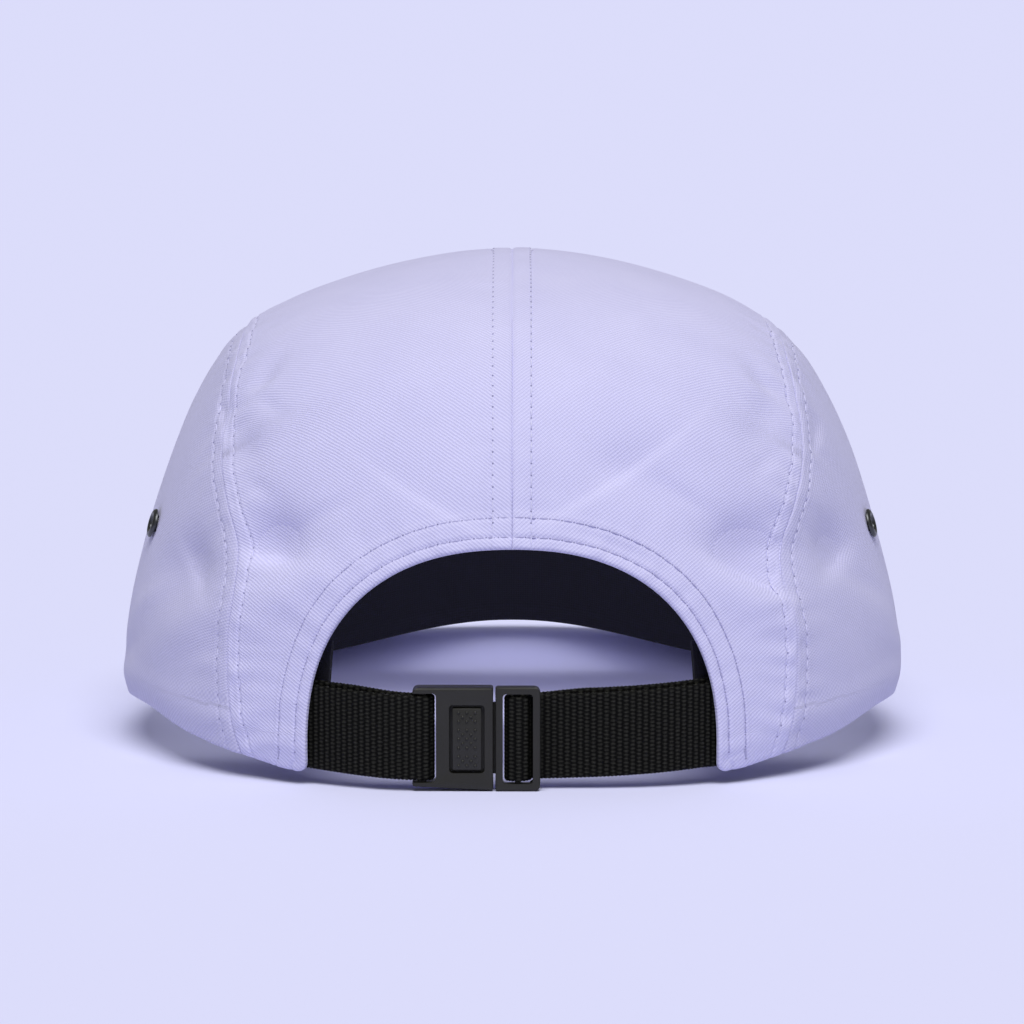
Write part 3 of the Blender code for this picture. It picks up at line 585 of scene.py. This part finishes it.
panel = {"roll": 0.22, "gap": 0.02, "billow": 0.35, "billowSize": 26.0, "innerRelief": 0.6,
         "tuckCrisp": 3.6}
fineFolds = [  # smaller creases than the solids have, in the same columns
    (-14, 0.470, 0.110, 0.018, 22, -0.0045), (-27, 0.560, 0.070, 0.016, 30, -0.0040),
    (30, 0.520, 0.090, 0.020, -24, -0.0045), (44, 0.560, 0.060, 0.018, 12, -0.0040),
    (48, 0.720, 0.070, 0.016, 10, -0.0035), (-46, 0.610, 0.070, 0.018, -14, -0.0040),
    (70, 0.300, 0.120, 0.026, -24, 0.0050), (80, 0.170, 0.150, 0.030, -16, -0.0045),
    (-68, 0.330, 0.120, 0.024, 20, -0.0045), (-82, 0.180, 0.150, 0.030, 12, 0.0045),
]
tucks = [  # creases with a soft upper side and a crisp lower edge
    (39, 0.441, 0.070, 0.075, 3, -0.0260), (-38, 0.402, 0.110, 0.082, 24, -0.0340),
    (57, 0.384, 0.085, 0.070, 30, -0.0140), (-60, 0.400, 0.090, 0.080, -16, -0.0170),
    (54, 0.765, 0.050, 0.050, -20, -0.0110), (-55, 0.760, 0.060, 0.050, 18, -0.0120),
    (63, 0.690, 0.050, 0.035, 25, -0.0100), (-17, 0.613, 0.210, 0.050, -24, -0.0075),
    (12, 0.560, 0.150, 0.050, 24, -0.0055), (-65, 0.640, 0.060, 0.040, -20, -0.0080),
]


def pulledIn(grid, gap):
    moved = grid.copy()
    for side, source in ((moved, grid), (moved.swapaxes(0, 1), grid.swapaxes(0, 1))):
        side[0] += unit(source[1] - source[0]) * gap
        side[-1] += unit(source[-2] - source[-1]) * gap
    return moved


def makePanel(name, node, places, edges, grain, material, seed, holes=()):
    # Edges are lines with their kind of seam. Grain is the line of the warp and the way in which u grows.
    points, normals = smoothCrown(places), crownNormals(places)
    push = foldPush(places, points, crown["folds"]) + foldPush(places, points, fineFolds)
    push += foldPush(places, points, tucks, panel["tuckCrisp"])
    flat = points.reshape(-1, 3) / panel["billowSize"]
    billow = np.array([noise.noise(Vector(p) + Vector((seed, 0, 0))) for p in flat]).reshape(push.shape)
    push += billow * panel["billow"]
    rim = np.full(push.shape, 99.0)
    for k, (line, kind) in enumerate(edges):
        extra, away = seamPush(points, line, kind, seed + k)
        push += extra
        rim = np.minimum(rim, away)
    roll = rolled(rim, panel["roll"])
    outer = pulledIn(points + normals * (push - roll)[..., None], panel["gap"])
    depth = push * panel["innerRelief"] + roll - crown["cloth"]
    inner = pulledIn(points + normals * depth[..., None], panel["gap"])
    away, along = nearest(points, grain[0])
    uv = np.stack((away * np.sign(places @ grain[1] + 1e-9), along), -1)
    mesh = makeWall(name, outer, inner, uv, holes)
    trees.append(BVHTree.FromPolygons([v.co for v in mesh.vertices], [p.vertices for p in mesh.polygons]))
    finishMesh(mesh, material, node)


def meridian(angle, end=0.0):  # points from below the hem straight up to it and then over the crown
    stops = np.linspace(0.95, end, 700)
    over = smoothCrown(evenly(onHem(angle) * stops[:, None]))
    drop = np.arange(40, 0, -seams["step"])[:, None] * (0, 0, 1)
    return np.concatenate((over[0] - drop, over))


trees = []
eyelet = {"radius": 3.5, "hole": 1.5, "barrel": 0.5, "flange": 0.8, "play": 0.55, "angle": 77.0,
          "height": 50.0, "washer": 0.4, "cutOut": 0.5, "rollSteps": 8, "sides": 48}
eyeletPlaces = {hand: placeBelow(np.radians(hand * eyelet["angle"]), eyelet["height"]) for hand in (1, -1)}

backGrid = patch(lines["arch"], np.concatenate((lines["cross"], lines["side"][::-1][1:])), lines["centre"],
                 lines["foot"], dense(190, 0.3), dense(150, 0.75))
sideGrid = patch(lines["sideHem"], lines["high"], lines["low"], lines["front"],
                 dense(140, 0.6), dense(120, 0.6))
frontGrid = patch(lines["frontHem"], lines["wholeCross"], lines["front"], flipped(lines["front"]),
                  dense(170, 0.5), dense(100, 0.6))
backGrain = (meridian(0.0, -0.5), (1, 0))

for hand, word in ((1, "Left"), (-1, "Right")):
    own = {name: forHand(line, hand) for name, line in lines.items()}
    edges = [(own[kind], kind) for kind in ("centre", "side", "cross", "arch")] + [(own["foot"], "hem")]
    makePanel("backPanel" + word, "back_panel_" + word.lower(), forHand(backGrid, hand), edges, backGrain,
              materials["twill" + word], 3 + hand)
    edges = [(own["side"], "side"), (own["front"], "front"), (own["sideHem"], "hem")]
    sideGrain = (meridian(hand * math.pi / 2), (0, hand))
    holes = [(smoothCrown(eyeletPlaces[hand]), eyelet["hole"] + eyelet["barrel"] + eyelet["cutOut"])]
    makePanel("sidePanel" + word, "side_panel_" + word.lower(), forHand(sideGrid, hand), edges, sideGrain,
              materials["twillPaintedShade"], 9 + hand, holes)
    print("panels on the", word.lower())
edges = [(lines["wholeCross"], "cross"), (lines["front"], "front"), (flipped(lines["front"]), "front"),
         (lines["frontHem"], "hem")]
makePanel("frontPanel", "front_panel", frontGrid, edges, (meridian(math.pi), (-1, 0)),
          materials["twillPaintedShade"], 15)
print("front panel")


# Stitches

def beside(line, distance):  # the line moved sideways over the crown, to its left if the distance is above 0
    points = smoothCrown(line)
    tangents = unit(np.gradient(points, axis=0))
    aside = np.cross(crownNormals(line), tangents) * distance
    sideways, backwards = crownSlopes(line)
    a, b, c = (sideways * sideways).sum(1), (sideways * backwards).sum(1), (backwards * backwards).sum(1)
    p, q = (sideways * aside).sum(1), (backwards * aside).sum(1)
    det = a * c - b * b
    return line + np.stack(((c * p - b * q) / det, (a * q - b * p) / det), -1)


def onCloth(point, normal):  # the outer face of the cloth under a point
    start = Vector(toWorld(point)) + Vector(normal) * 4 * mm
    hits = [tree.ray_cast(start, -Vector(normal), 9 * mm) for tree in trees]
    return min((hit for hit in hits if hit[0] is not None), key=lambda hit: hit[3], default=(None, None))[:2]


def facing(normal):  # the turn that brings the z axis onto the normal
    return normal.to_track_quat("Z", "Y").to_matrix().to_4x4()


def stitchPlace(a, b, normal):  # where a ball of radius 1 is stretched into a thread from a to b
    ahead = (b - a).normalized()
    aside = normal.cross(ahead).normalized()
    up = ahead.cross(aside)
    turn = Matrix((ahead, aside, up)).transposed().to_4x4()
    length, width, height = (stitch[k] / 2 * mm for k in ("length", "width", "height"))
    stand = Matrix.Translation((a + b) / 2 + up * height * stitch["proud"]) @ turn
    return stand @ Matrix.Diagonal((length, width, height, 1)) @ Matrix.Rotation(math.pi / 2, 4, "Y")


# the disc is dark, a painted shade standing in for the shade inside the hole
def holePlace(a, normal):  # where a ball of radius 1 is flattened into the needle's hole at a stitch's end
    size = stitch["hole"] * mm
    return Matrix.Translation(a) @ facing(normal) @ Matrix.Diagonal((size, size, stitch["holeDepth"] * mm, 1))


def stepsAlong(points, normals, start=0.0, end=0.0):  # both ends of each stitch on a line, with the normals
    run = runOf(points)
    pitch, half = stitch["pitch"], stitch["length"] / 2
    middles = np.arange(start + pitch / 2, run[-1] - end - pitch / 2, pitch)
    return zip(*(straight(run, rows, middles + way * half) for way in (-1, 1) for rows in (points, normals)))


def rowPlaces(seam, kind, offset):  # the places of a row's stitches, whose needle holes are kept too
    line = beside(seam, offset)
    places = []
    for a, normalA, b, normalB in stepsAlong(smoothCrown(line), crownNormals(line), *tops[kind]["ends"]):
        (first, up), (second, other) = onCloth(a, normalA), onCloth(b, normalB)
        if first is None or second is None or (first - second).length >= stitch["longest"] * mm:
            continue
        normal = (up + other).normalized()
        places.append(stitchPlace(first, second, normal))
        gap = (second - first).normalized() * (stitch["pitch"] - stitch["length"]) / 2 * mm
        needleHoleShades.append(holePlace(second + gap, normal))
    return places


def keepStitches(name, places, look="thread", batch=16):
    whole = bmesh.new()
    for start in range(0, len(places), batch):  # small batches, because one large mesh grows slowly
        bm = bmesh.new()
        for place in places[start:start + batch]:
            bmesh.ops.create_uvsphere(bm, u_segments=6, v_segments=6, radius=1, matrix=place)
        part = meshOf(bm, "batch")
        whole.from_mesh(part)
        bpy.data.meshes.remove(part)
    mesh = meshOf(whole, name)
    mesh.shade_smooth()
    keep(mesh, materials[look])


def sewSeams():
    sewn = [(lines["centre"], "centre")]
    sewn += [(forHand(lines[kind], hand), kind) for hand in (1, -1) for kind in ("side", "front")]
    sewn += [(lines["wholeCross"], "cross")]
    places = [rowPlaces(*seam, way * tops[seam[1]]["rows"][0]) for seam in sewn for way in (1, -1)]
    keepStitches("seamStitches", sum(places, []))
    # the arch's stitches wear the darker thread, a painted shade
    places = [rowPlaces(forHand(lines["arch"], hand), "arch", -hand * row)
              for row in tops["arch"]["rows"] for hand in (1, -1)]
    keepStitches("archStitches", sum(places, []), "archThread")
    # the needle hole discs carry painted shade
    keepStitches("needleHoleShades", needleHoleShades, "needleHoleShade")


needleHoleShades = []
sewSeams()
print("stitches on the crown")


# Brim

brim = {"length": 66.0, "thickness": 3.0, "lip": 3.5, "arch": 7.0, "bow": 1.5, "squareness": 2.3,
        "rows": (4.0, 9.0, 14.0, 19.0, 24.0), "round": 1.3, "maleHeight": 24.2, "groove": 0.16,
        "grooveWidth": 0.55, "endRun": 260.0, "rootRim": 0.4,
        "edge": [(0, 0.5), (0.25, 0.14), (0.5, 0), (0.75, 0.46), (1, 1), (1.25, 0.46)]}


def crownPoint(places, depth):
    points = smoothCrown(places)
    push = foldPush(places, points, crown["folds"]) - depth
    return points + crownNormals(places) * np.asarray(push)[..., None]


def bow(u, v):  # how far the brim bulges between the crown and its edge
    return brim["bow"] * 4 * v * v * (1 - v) * np.sin(math.pi * u)


def brimPoints(us, vs):  # the upper face, from the crown at v = 0 to the edge at v = 1
    corner = crownPoint(onHem(frontFoot), 0.0)
    front = crownPoint(onHem(math.pi), 0.0)
    angle = frontFoot + (2 * math.pi - 2 * frontFoot) * us
    turn = math.pi * us
    root = crownPoint(onHem(angle), crown["cloth"])
    root[:, 2] = smoothCrown(onHem(angle))[:, 2] - strap["clearance"]
    share = smoothCurve(*zip(*brim["edge"]), 1 - np.abs(2 * us - 1))
    lowest = strap["height"] - strap["sag"] - brim["maleHeight"] / 2
    edge = np.stack((
        (corner[0] + brim["lip"]) * bend(np.cos(turn), brim["squareness"]),
        corner[1] - (corner[1] - front[1] + brim["length"]) * bend(np.sin(turn), brim["squareness"]),
        lowest + brim["thickness"] + brim["arch"] * share), -1)
    grid = root[:, None] * (1 - vs[None, :, None]) + edge[:, None] * vs[None, :, None]
    grid[..., 2] += bow(us[:, None], vs)
    return grid


def makeBrim():
    us, vs = dense(220, 0.3), dense(90, 0.7)
    top = brimPoints(us, vs)
    reach = np.linalg.norm(top[:, -1] - top[:, 0], axis=1)[:, None]
    fromEdge = np.minimum((1 - vs)[None] * reach, vs[None] * reach + brim["rootRim"])
    ends = np.minimum(us, 1 - us)[:, None] * brim["endRun"]
    roll = rolled(np.minimum(fromEdge, ends), brim["round"])
    push = np.zeros(roll.shape)
    for row in brim["rows"]:
        push -= brim["groove"] * np.exp(-(((1 - vs)[None] * reach - row) / brim["grooveWidth"]) ** 2)
    up = np.array((0, 0, 1.0))
    outer = top + up * (push - roll)[..., None]
    inner = top + up * (roll - push - brim["thickness"])[..., None]
    uv = np.stack((top[..., 0], top[..., 1]), -1)
    mesh = makeWall("brimCloth", outer, inner, uv)
    finishMesh(mesh, materials["twillPaintedShade"], "brim")
    fine = np.linspace(0, 1, 900)
    both = brimPoints(fine, np.array([0.0, 1.0]))
    reach = np.linalg.norm(both[:, 1] - both[:, 0], axis=1)
    places = []
    for row in brim["rows"]:
        share = 1 - row / reach
        onBrim = share > 0.02
        v, u = share[onBrim], fine[onBrim]
        line = both[onBrim, 0] * (1 - v)[:, None] + both[onBrim, 1] * v[:, None]
        line[:, 2] += bow(u, v)
        up = np.tile((0.0, 0.0, 1.0), (len(line), 1))
        for level, face in ((-brim["groove"], up), (brim["groove"] - brim["thickness"], -up)):
            for a, normal, b, other in stepsAlong(line + up * level, face):
                places.append(stitchPlace(Vector(toWorld(a)), Vector(toWorld(b)), Vector(normal)))
    keepStitches("brimStitches", places)


makeBrim()
print("brim")


# Sweatband

band = {"height": 31.0, "wall": 1.1, "gap": 0.45, "shows": 5.4, "tuck": 6.6, "brimClearance": 0.3,
        "round": 0.45, "tuckFrom": 4.0, "tuckOver": 12.0}


def bandDepth(angle):
    strapEnd = np.degrees(angleAt(arch["width"] / 2 + strap["hidden"], 1.0))
    close = crown["cloth"] + band["gap"]
    return close + (band["tuck"] - close) * (1 - ramp(np.abs(turned(angle)) - strapEnd - band["tuckFrom"],
                                                    0, band["tuckOver"]))


def bandPoints(angle, rise, depth):
    hem = smoothCrown(onHem(angle))[:, 2]
    overBrim = ramp(np.abs(turned(angle)) - (165 - seams["brimHalfAngle"]), 0, 15)
    drop = overBrim * (brim["thickness"] + 2 * band["brimClearance"]) - band["brimClearance"]
    height = hem - drop + rise
    places = placeBelow(angle, np.maximum(height, hem))
    places = np.where((height <= hem)[:, None], onHem(angle), places)
    points = crownPoint(places, depth)
    points[:, 2] = np.where(height <= hem, height, points[:, 2])
    return points


def makeSweatband():
    endX = arch["width"] / 2 - band["shows"]
    low, high = angleAt(endX - band["tuck"], 1.0), angleAt(endX + band["tuck"], 1.0)
    start = float(solve(lambda a: crownPoint(onHem(a), band["tuck"])[..., 0], low, high, endX))
    angles = start + (2 * math.pi - 2 * start) * dense(300, 0.5)
    rises = band["height"] * dense(24, 0.7)
    depth = bandDepth(angles)
    sink = rolled(np.minimum(rises, band["height"] - rises), band["round"])
    outer = np.stack([bandPoints(angles, r, depth + k) for r, k in zip(rises, sink)], 1)
    inner = np.stack([bandPoints(angles, r, depth + band["wall"] - k) for r, k in zip(rises, sink)], 1)
    uv = np.stack(np.broadcast_arrays(runOf(outer[:, 4])[:, None], rises[None]), -1)
    mesh = makeWall("sweatbandCloth", outer, inner, uv)
    finishMesh(mesh, materials["band"], "sweatband")


makeSweatband()
print("sweatband")


# Buckle and straps

buckle = {"offset": 4.05, "thickness": 5.2, "parting": 0.5, "body": 13.1, "tail": 5.4, "loopBar": 2.0,
          "loopBarInset": 2.1, "maleWidth": 10.3, "maleThickness": 2.8, "barWidth": 1.4, "barThickness": 1.2,
          "loopBulge": 0.55, "wrapStretch": 1.34, "foldPlay": 0.05, "wrapPlay": 0.13, "barInset": 0.1,
          "rounding": 0.18, "sharp": 35.0}
railWrap = [(-2.20, -0.82), (-1.75, -0.82), (-1.30, -0.62), (-1.03, -0.22), (-0.97, 0.20), (-0.68, 0.70),
            (0, 1), (0.68, 0.70), (1.00, 0.05), (0.88, -0.72), (0.35, -1.38), (-0.50, -1.70),
            (-1.75, -1.76)]


def hiddenStrap(side, x, inside):  # inside the cloth's inner face and clear of it over the whole width
    heights = np.maximum(strap["height"] + strap["width"] * np.array((-0.5, 0, 0.5)), 0.5)
    reach, ahead = (smoothCrown(placeAt(np.full(3, at), heights))[:, 1].min() for at in (x, x + 1.0))
    normal = Vector((reach - ahead, 1)).normalized()
    point = Vector((x, reach)) - normal * (crown["cloth"] + strap["clearance"] + inside)
    return side * point.x, point.y


def buckleCentre():
    x, y = hiddenStrap(1, arch["width"] / 2, strap["thickness"] / 2)
    return Vector((buckle["offset"], y + strap["bulge"], strap["height"] - strap["sag"]))


def strapRoute(side, inside, meet):
    spots = [hiddenStrap(side, arch["width"] / 2 + strap["hidden"] * share, inside) for share in (1, 0.5, 0)]
    (xa, ya), (xb, yb) = spots[1], spots[2]
    slope = (yb - ya) / (xb - xa)
    for t in np.linspace(0, 1, 13)[1:]:
        x = xb + (meet[0] - xb) * t
        rise = yb * (1 + 2 * t) * (1 - t) ** 2 + meet[1] * t * t * (3 - 2 * t)
        spots.append((x, rise + (meet[0] - xb) * slope * t * (1 - t) ** 2))
    return spots


def makeStrap(name, node, route):
    route = np.array(route)
    rough = runOf(route)
    stops = np.linspace(0, rough[-1], int(rough[-1] / strap["cell"]))
    path = smooth(rough, route, stops)
    ahead = unit(np.gradient(path, axis=0))
    aside = np.stack((-ahead[:, 1], ahead[:, 0]), -1)
    centre = buckleCentre()
    share = np.minimum(np.abs(path[:, 0] - centre.x) / (arch["width"] / 2), 1)
    middle = centre.z + strap["sag"] * share * share
    pastBar = stops - stops[-1] / 2
    middle += strap["rearLift"] * ramp(pastBar, strap["liftFrom"], strap["liftTo"])  # on the rear layer
    reach = strap["width"] / 2
    ups = reach * np.linspace(-1, 1, int(strap["width"] / strap["cell"]))
    s, w = stops[:, None], ups[None]
    column = np.floor(s / strap["column"])
    bulge = np.abs(np.sin(math.pi * s / strap["column"])) ** 0.6
    dash = 0.5 + 0.5 * np.cos(2 * math.pi * (w / strap["dash"] + 0.5 * (column % 2)))
    weave = bulge * (0.35 + 0.65 * dash)
    fromEdge = reach - np.abs(w)
    toMiddle = np.minimum(fromEdge / strap["edge"], 1)
    half = strap["thickness"] / 2 * np.sqrt(np.clip(1 - (1 - toMiddle) ** 2, 0.02, 1))
    half = np.maximum(half - strap["relief"] * (1 - weave) * 0.9, strap["thinnest"])
    atEdge = ramp(np.abs(w) / (reach), 0.93, 1.0)
    scallop = strap["scallop"] * np.cos(2 * math.pi * s / strap["dash"]) * atEdge
    heights = middle[:, None] + w + np.sign(w) * scallop

    outer, inner = (np.stack((path[:, :1] + aside[:, :1] * depth, path[:, 1:] + aside[:, 1:] * depth,
                              heights), -1) for depth in (half, -half))
    uv = np.stack(np.broadcast_arrays(s, w), -1)
    mesh = makeWall(name, outer, inner, uv, share=weave)
    finishMesh(mesh, materials["webbing"], node)


def makeStraps():
    centre = buckleCentre()
    layer = strap["thickness"] / 2
    step = strap["thickness"] + strap["clearance"]
    fold = buckle["loopBar"] / 2 + strap["clearance"] + layer + buckle["foldPlay"]
    end = centre.x + buckle["parting"] / 2 + buckle["body"] + buckle["tail"]
    barX = end - buckle["loopBarInset"]
    front = strapRoute(1, layer, (end, centre.y + fold))
    rear = strapRoute(1, layer + step, (end, centre.y - fold))
    turns = np.linspace(0, math.pi, 25)
    loop = [(barX - (fold + buckle["loopBulge"]) * math.sin(t), centre.y + fold * math.cos(t)) for t in turns]
    makeStrap("strapLeftWebbing", "strap_left", front + loop + rear[::-1])

    barHalf = math.hypot(buckle["barWidth"], buckle["barThickness"]) / 2
    barMiddle = buckle["thickness"] / 2 - buckle["maleThickness"] + buckle["barThickness"] / 2
    barMiddle -= buckle["barInset"]
    wrap = barHalf + strap["clearance"] + layer + buckle["wrapPlay"]
    bar = (centre.x - buckle["parting"] / 2 - buckle["maleWidth"] / 2, centre.y + barMiddle)
    knots = np.array(railWrap) * wrap
    knots[:, 0] *= np.where(knots[:, 0] > -1.05 * wrap, buckle["wrapStretch"], 1)
    knots += bar
    run = runOf(knots)
    around = smooth(run, knots, np.linspace(0, run[-1], 41))
    front = strapRoute(-1, layer, around[0])
    rear = strapRoute(-1, layer + step, around[-1])
    makeStrap("strapRightWebbing", "strap_right", front[:-1] + [tuple(p) for p in around] + rear[-2::-1])


makeStraps()
print("straps")


def roundEnd(bm, end, inward, low, high, radius, steps=6):  # rounds both outer corners at one end of a frame
    for k in range(1, steps + 1):
        cut = radius * (1 - math.cos(math.pi / 2 * k / steps))
        for spot, normal in (((end + inward * cut, 0, 0), (1, 0, 0)), ((0, 0, low + cut), (0, 0, 1)),
                             ((0, 0, high - cut), (0, 0, 1))):
            bmesh.ops.bisect_plane(bm, geom=bm.verts[:] + bm.edges[:] + bm.faces[:], plane_co=spot,
                                   plane_no=normal, dist=1e-7)
    for vert in bm.verts:
        for edge, way in ((low, 1), (high, -1)):
            centre = Vector((end + inward * radius, vert.co.y, edge + way * radius))
            away = vert.co - centre
            if away.x * inward < 0 and away.z * way < 0 and away.length > radius:
                vert.co = centre + away.normalized() * radius
    bmesh.ops.remove_doubles(bm, verts=bm.verts, dist=1e-6)


def bevelled(bm, edges, offset, segments):
    bmesh.ops.bevel(bm, geom=edges, offset=offset * mm, offset_type="OFFSET", segments=segments, profile=0.5,
                    affect="EDGES", material=-1, clamp_overlap=True)


def softened(name, node, inner, rounding, atLeft):
    # The CAD shape with its edges rounded, and more so at the inner corners and at the strap's end.
    bm = bmesh.new()
    bm.from_mesh(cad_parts[node].data)
    bmesh.ops.remove_doubles(bm, verts=bm.verts, dist=1e-6)
    bmesh.ops.dissolve_limit(bm, angle_limit=math.radians(1), verts=bm.verts, edges=bm.edges)
    corners = []
    for edge in bm.edges:
        along = edge.verts[1].co - edge.verts[0].co
        upright = edge.is_manifold and abs(along.y) > max(0.95 * along.length, 1.33 * mm)
        if upright and edge.calc_face_angle_signed() < math.radians(-60):
            corners.append(edge)
    bevelled(bm, corners, inner, 5)
    low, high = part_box(node)
    end, inward = (high.x, -1) if atLeft else (low.x, 1)
    roundEnd(bm, end, inward, low.z, high.z, rounding * mm)
    sharp = math.radians(buckle["sharp"])
    edges = [edge for edge in bm.edges if edge.is_manifold and edge.calc_face_angle() > sharp]
    bevelled(bm, edges, buckle["rounding"], 3)
    bmesh.ops.triangulate(bm, faces=[face for face in bm.faces if len(face.verts) > 4])
    finishMesh(meshOf(bm, name), materials["plastic"], node, buckle["sharp"])


softened("buckleFemaleShell", "buckle_female", 0.9, 1.5, True)
softened("buckleMaleFrame", "buckle_male", 0.8, 1.6, False)

pips = {"columns": (-1.9, 0.0, 1.9), "between": (-0.95, 0.95), "pitch": 2.05, "radius": 0.36, "height": 0.36,
        "fromParting": 1.95, "buttonWidth": 8.15, "sink": 0.1}


def makePips():  # small raised dots on the push button
    centre = buckleCentre()
    front = buckle["thickness"] / 2 - pips["sink"]
    middle = centre.x + buckle["parting"] / 2 + pips["fromParting"] + pips["buttonWidth"] / 2
    bm = bmesh.new()
    spots = [(x, z * pips["pitch"]) for x in pips["columns"] for z in range(-3, 4)]
    spots += [(x, (z + 0.5) * pips["pitch"]) for x in pips["between"] for z in (-3, -1, 0, 2)]
    for x, z in spots:
        stand = Matrix.Translation(Vector(toWorld((middle + x, centre.y + front, centre.z + z))))
        flat = Matrix.Diagonal((pips["radius"] * mm, pips["height"] * mm, pips["radius"] * mm, 1))
        bmesh.ops.create_uvsphere(bm, u_segments=10, v_segments=6, radius=1, matrix=stand @ flat)
    finishMesh(meshOf(bm, "buttonPips"), materials["plastic"], None)


makePips()


def makeEyelet(hand, word):
    place = eyeletPlaces[hand]
    outside = Vector(crownPoint(place, 0.0))
    normal = (outside - Vector(crownPoint(place, crown["cloth"]))).normalized()
    seat = Vector(toWorld(outside - normal * crown["cloth"] / 2))
    stand = Matrix.Translation(seat) @ facing(normal) @ Matrix.Scale(mm, 4)
    half = crown["cloth"] / 2 + eyelet["play"]
    radius, hole = eyelet["radius"], eyelet["hole"]
    barrel = hole + eyelet["barrel"]
    middle, rounding = (radius + hole) / 2, (radius - hole) / 2
    outline = [(hole, -half)]
    for k in range(eyelet["rollSteps"] + 1):  # the rolled front flange
        turnBy = math.pi * (1 - k / eyelet["rollSteps"])
        outline.append((middle + rounding * math.cos(turnBy), half + eyelet["flange"] * math.sin(turnBy)))
    low = -half - eyelet["washer"]
    outline += [(barrel, half), (barrel, -half), (radius, -half), (radius, low), (barrel, low)]
    bm = bmesh.new()
    verts = [bm.verts.new((away, 0, height)) for away, height in outline]
    edges = [bm.edges.new((a, b)) for a, b in zip(verts, verts[1:] + verts[:1])]
    bmesh.ops.spin(bm, geom=verts + edges, axis=(0, 0, 1), cent=(0, 0, 0), angle=2 * math.pi,
                   steps=eyelet["sides"], use_merge=True)
    bmesh.ops.remove_doubles(bm, verts=bm.verts, dist=0.001)
    bmesh.ops.transform(bm, matrix=stand, verts=bm.verts)
    finishMesh(meshOf(bm, "eyeletRing" + word), materials["metal"], "eyelet_" + word.lower(), 40)


makeEyelet(1, "Left")
makeEyelet(-1, "Right")
print("buckle and eyelets")


# Floor, light and camera

stage = {"half": 9.0, "floor": (0.716, 0.723, 0.965), "world": 0.27, "sun": 2.54, "sunAngle": 42.0,
         "sunTurn": -3.0, "sunHeight": 64.0}
fills = {  # soft lights inside and under the brim: shape, watts, width, depth, place, tilt
    "underBrim": ("ELLIPSE", 0.0090, 124.0, 78.0, (0, -123.0, 6.5), 0.0),
    "underHollow": ("RECTANGLE", 0.0152, 176.0, 96.0, (0, -2.0, 7.0), 0.0),
    "hollow": ("RECTANGLE", 0.0180, 110.0, 30.0, (0, -5.0, 34.0), -82.0),
}
shot = {"elevation": 7.5, "distance": 1.5, "aimHeight": 52.75, "lens": 217.8}


def makeStage():
    bm = bmesh.new()
    bmesh.ops.create_grid(bm, x_segments=1, y_segments=1, size=stage["half"])
    mesh = meshOf(bm, "floor")
    paint = Paint("paleFloor", 1.0, specular=0.0)
    paint.shader.inputs["Base Color"].default_value = (*stage["floor"], 1)
    mesh.materials.append(paint.material)
    addObject("floor", mesh)

    world = bpy.data.worlds.new("studio")
    world.use_nodes = True
    background = world.node_tree.nodes["Background"]
    background.inputs["Color"].default_value = (1, 1, 1, 1)
    background.inputs["Strength"].default_value = stage["world"]
    bpy.context.scene.world = world

    light = bpy.data.lights.new("key", "SUN")
    light.energy = stage["sun"]
    light.angle = math.radians(stage["sunAngle"])
    key = addObject("key", light)
    turn, height = math.radians(stage["sunTurn"]), math.radians(stage["sunHeight"])
    towards = Vector((math.sin(turn) * math.cos(height), math.cos(turn) * math.cos(height), math.sin(height)))
    key.rotation_euler = towards.to_track_quat("Z", "Y").to_euler()

    for name, (shape, power, width, depth, place, tilt) in fills.items():
        light = bpy.data.lights.new(name, "AREA")
        light.shape = shape
        light.size, light.size_y = width * mm, depth * mm
        light.energy = power
        fill = addObject(name, light)
        fill.location = toWorld(place)
        fill.rotation_euler.x = math.radians(tilt)
        fill.visible_camera = False

    camera = addObject("camera", bpy.data.cameras.new("camera"))
    camera.data.lens = shot["lens"]
    camera.data.clip_end = 50
    aim = Vector((0, shiftY * mm, shot["aimHeight"] * mm))
    rise = math.radians(shot["elevation"])
    back = Vector((0, math.cos(rise), math.sin(rise)))
    camera.location = aim + back * shot["distance"]
    camera.rotation_euler = back.to_track_quat("Z", "Y").to_euler()
    bpy.context.scene.camera = camera


makeStage()
bpy.context.scene.view_settings.view_transform = "Standard"
print("stage and camera")
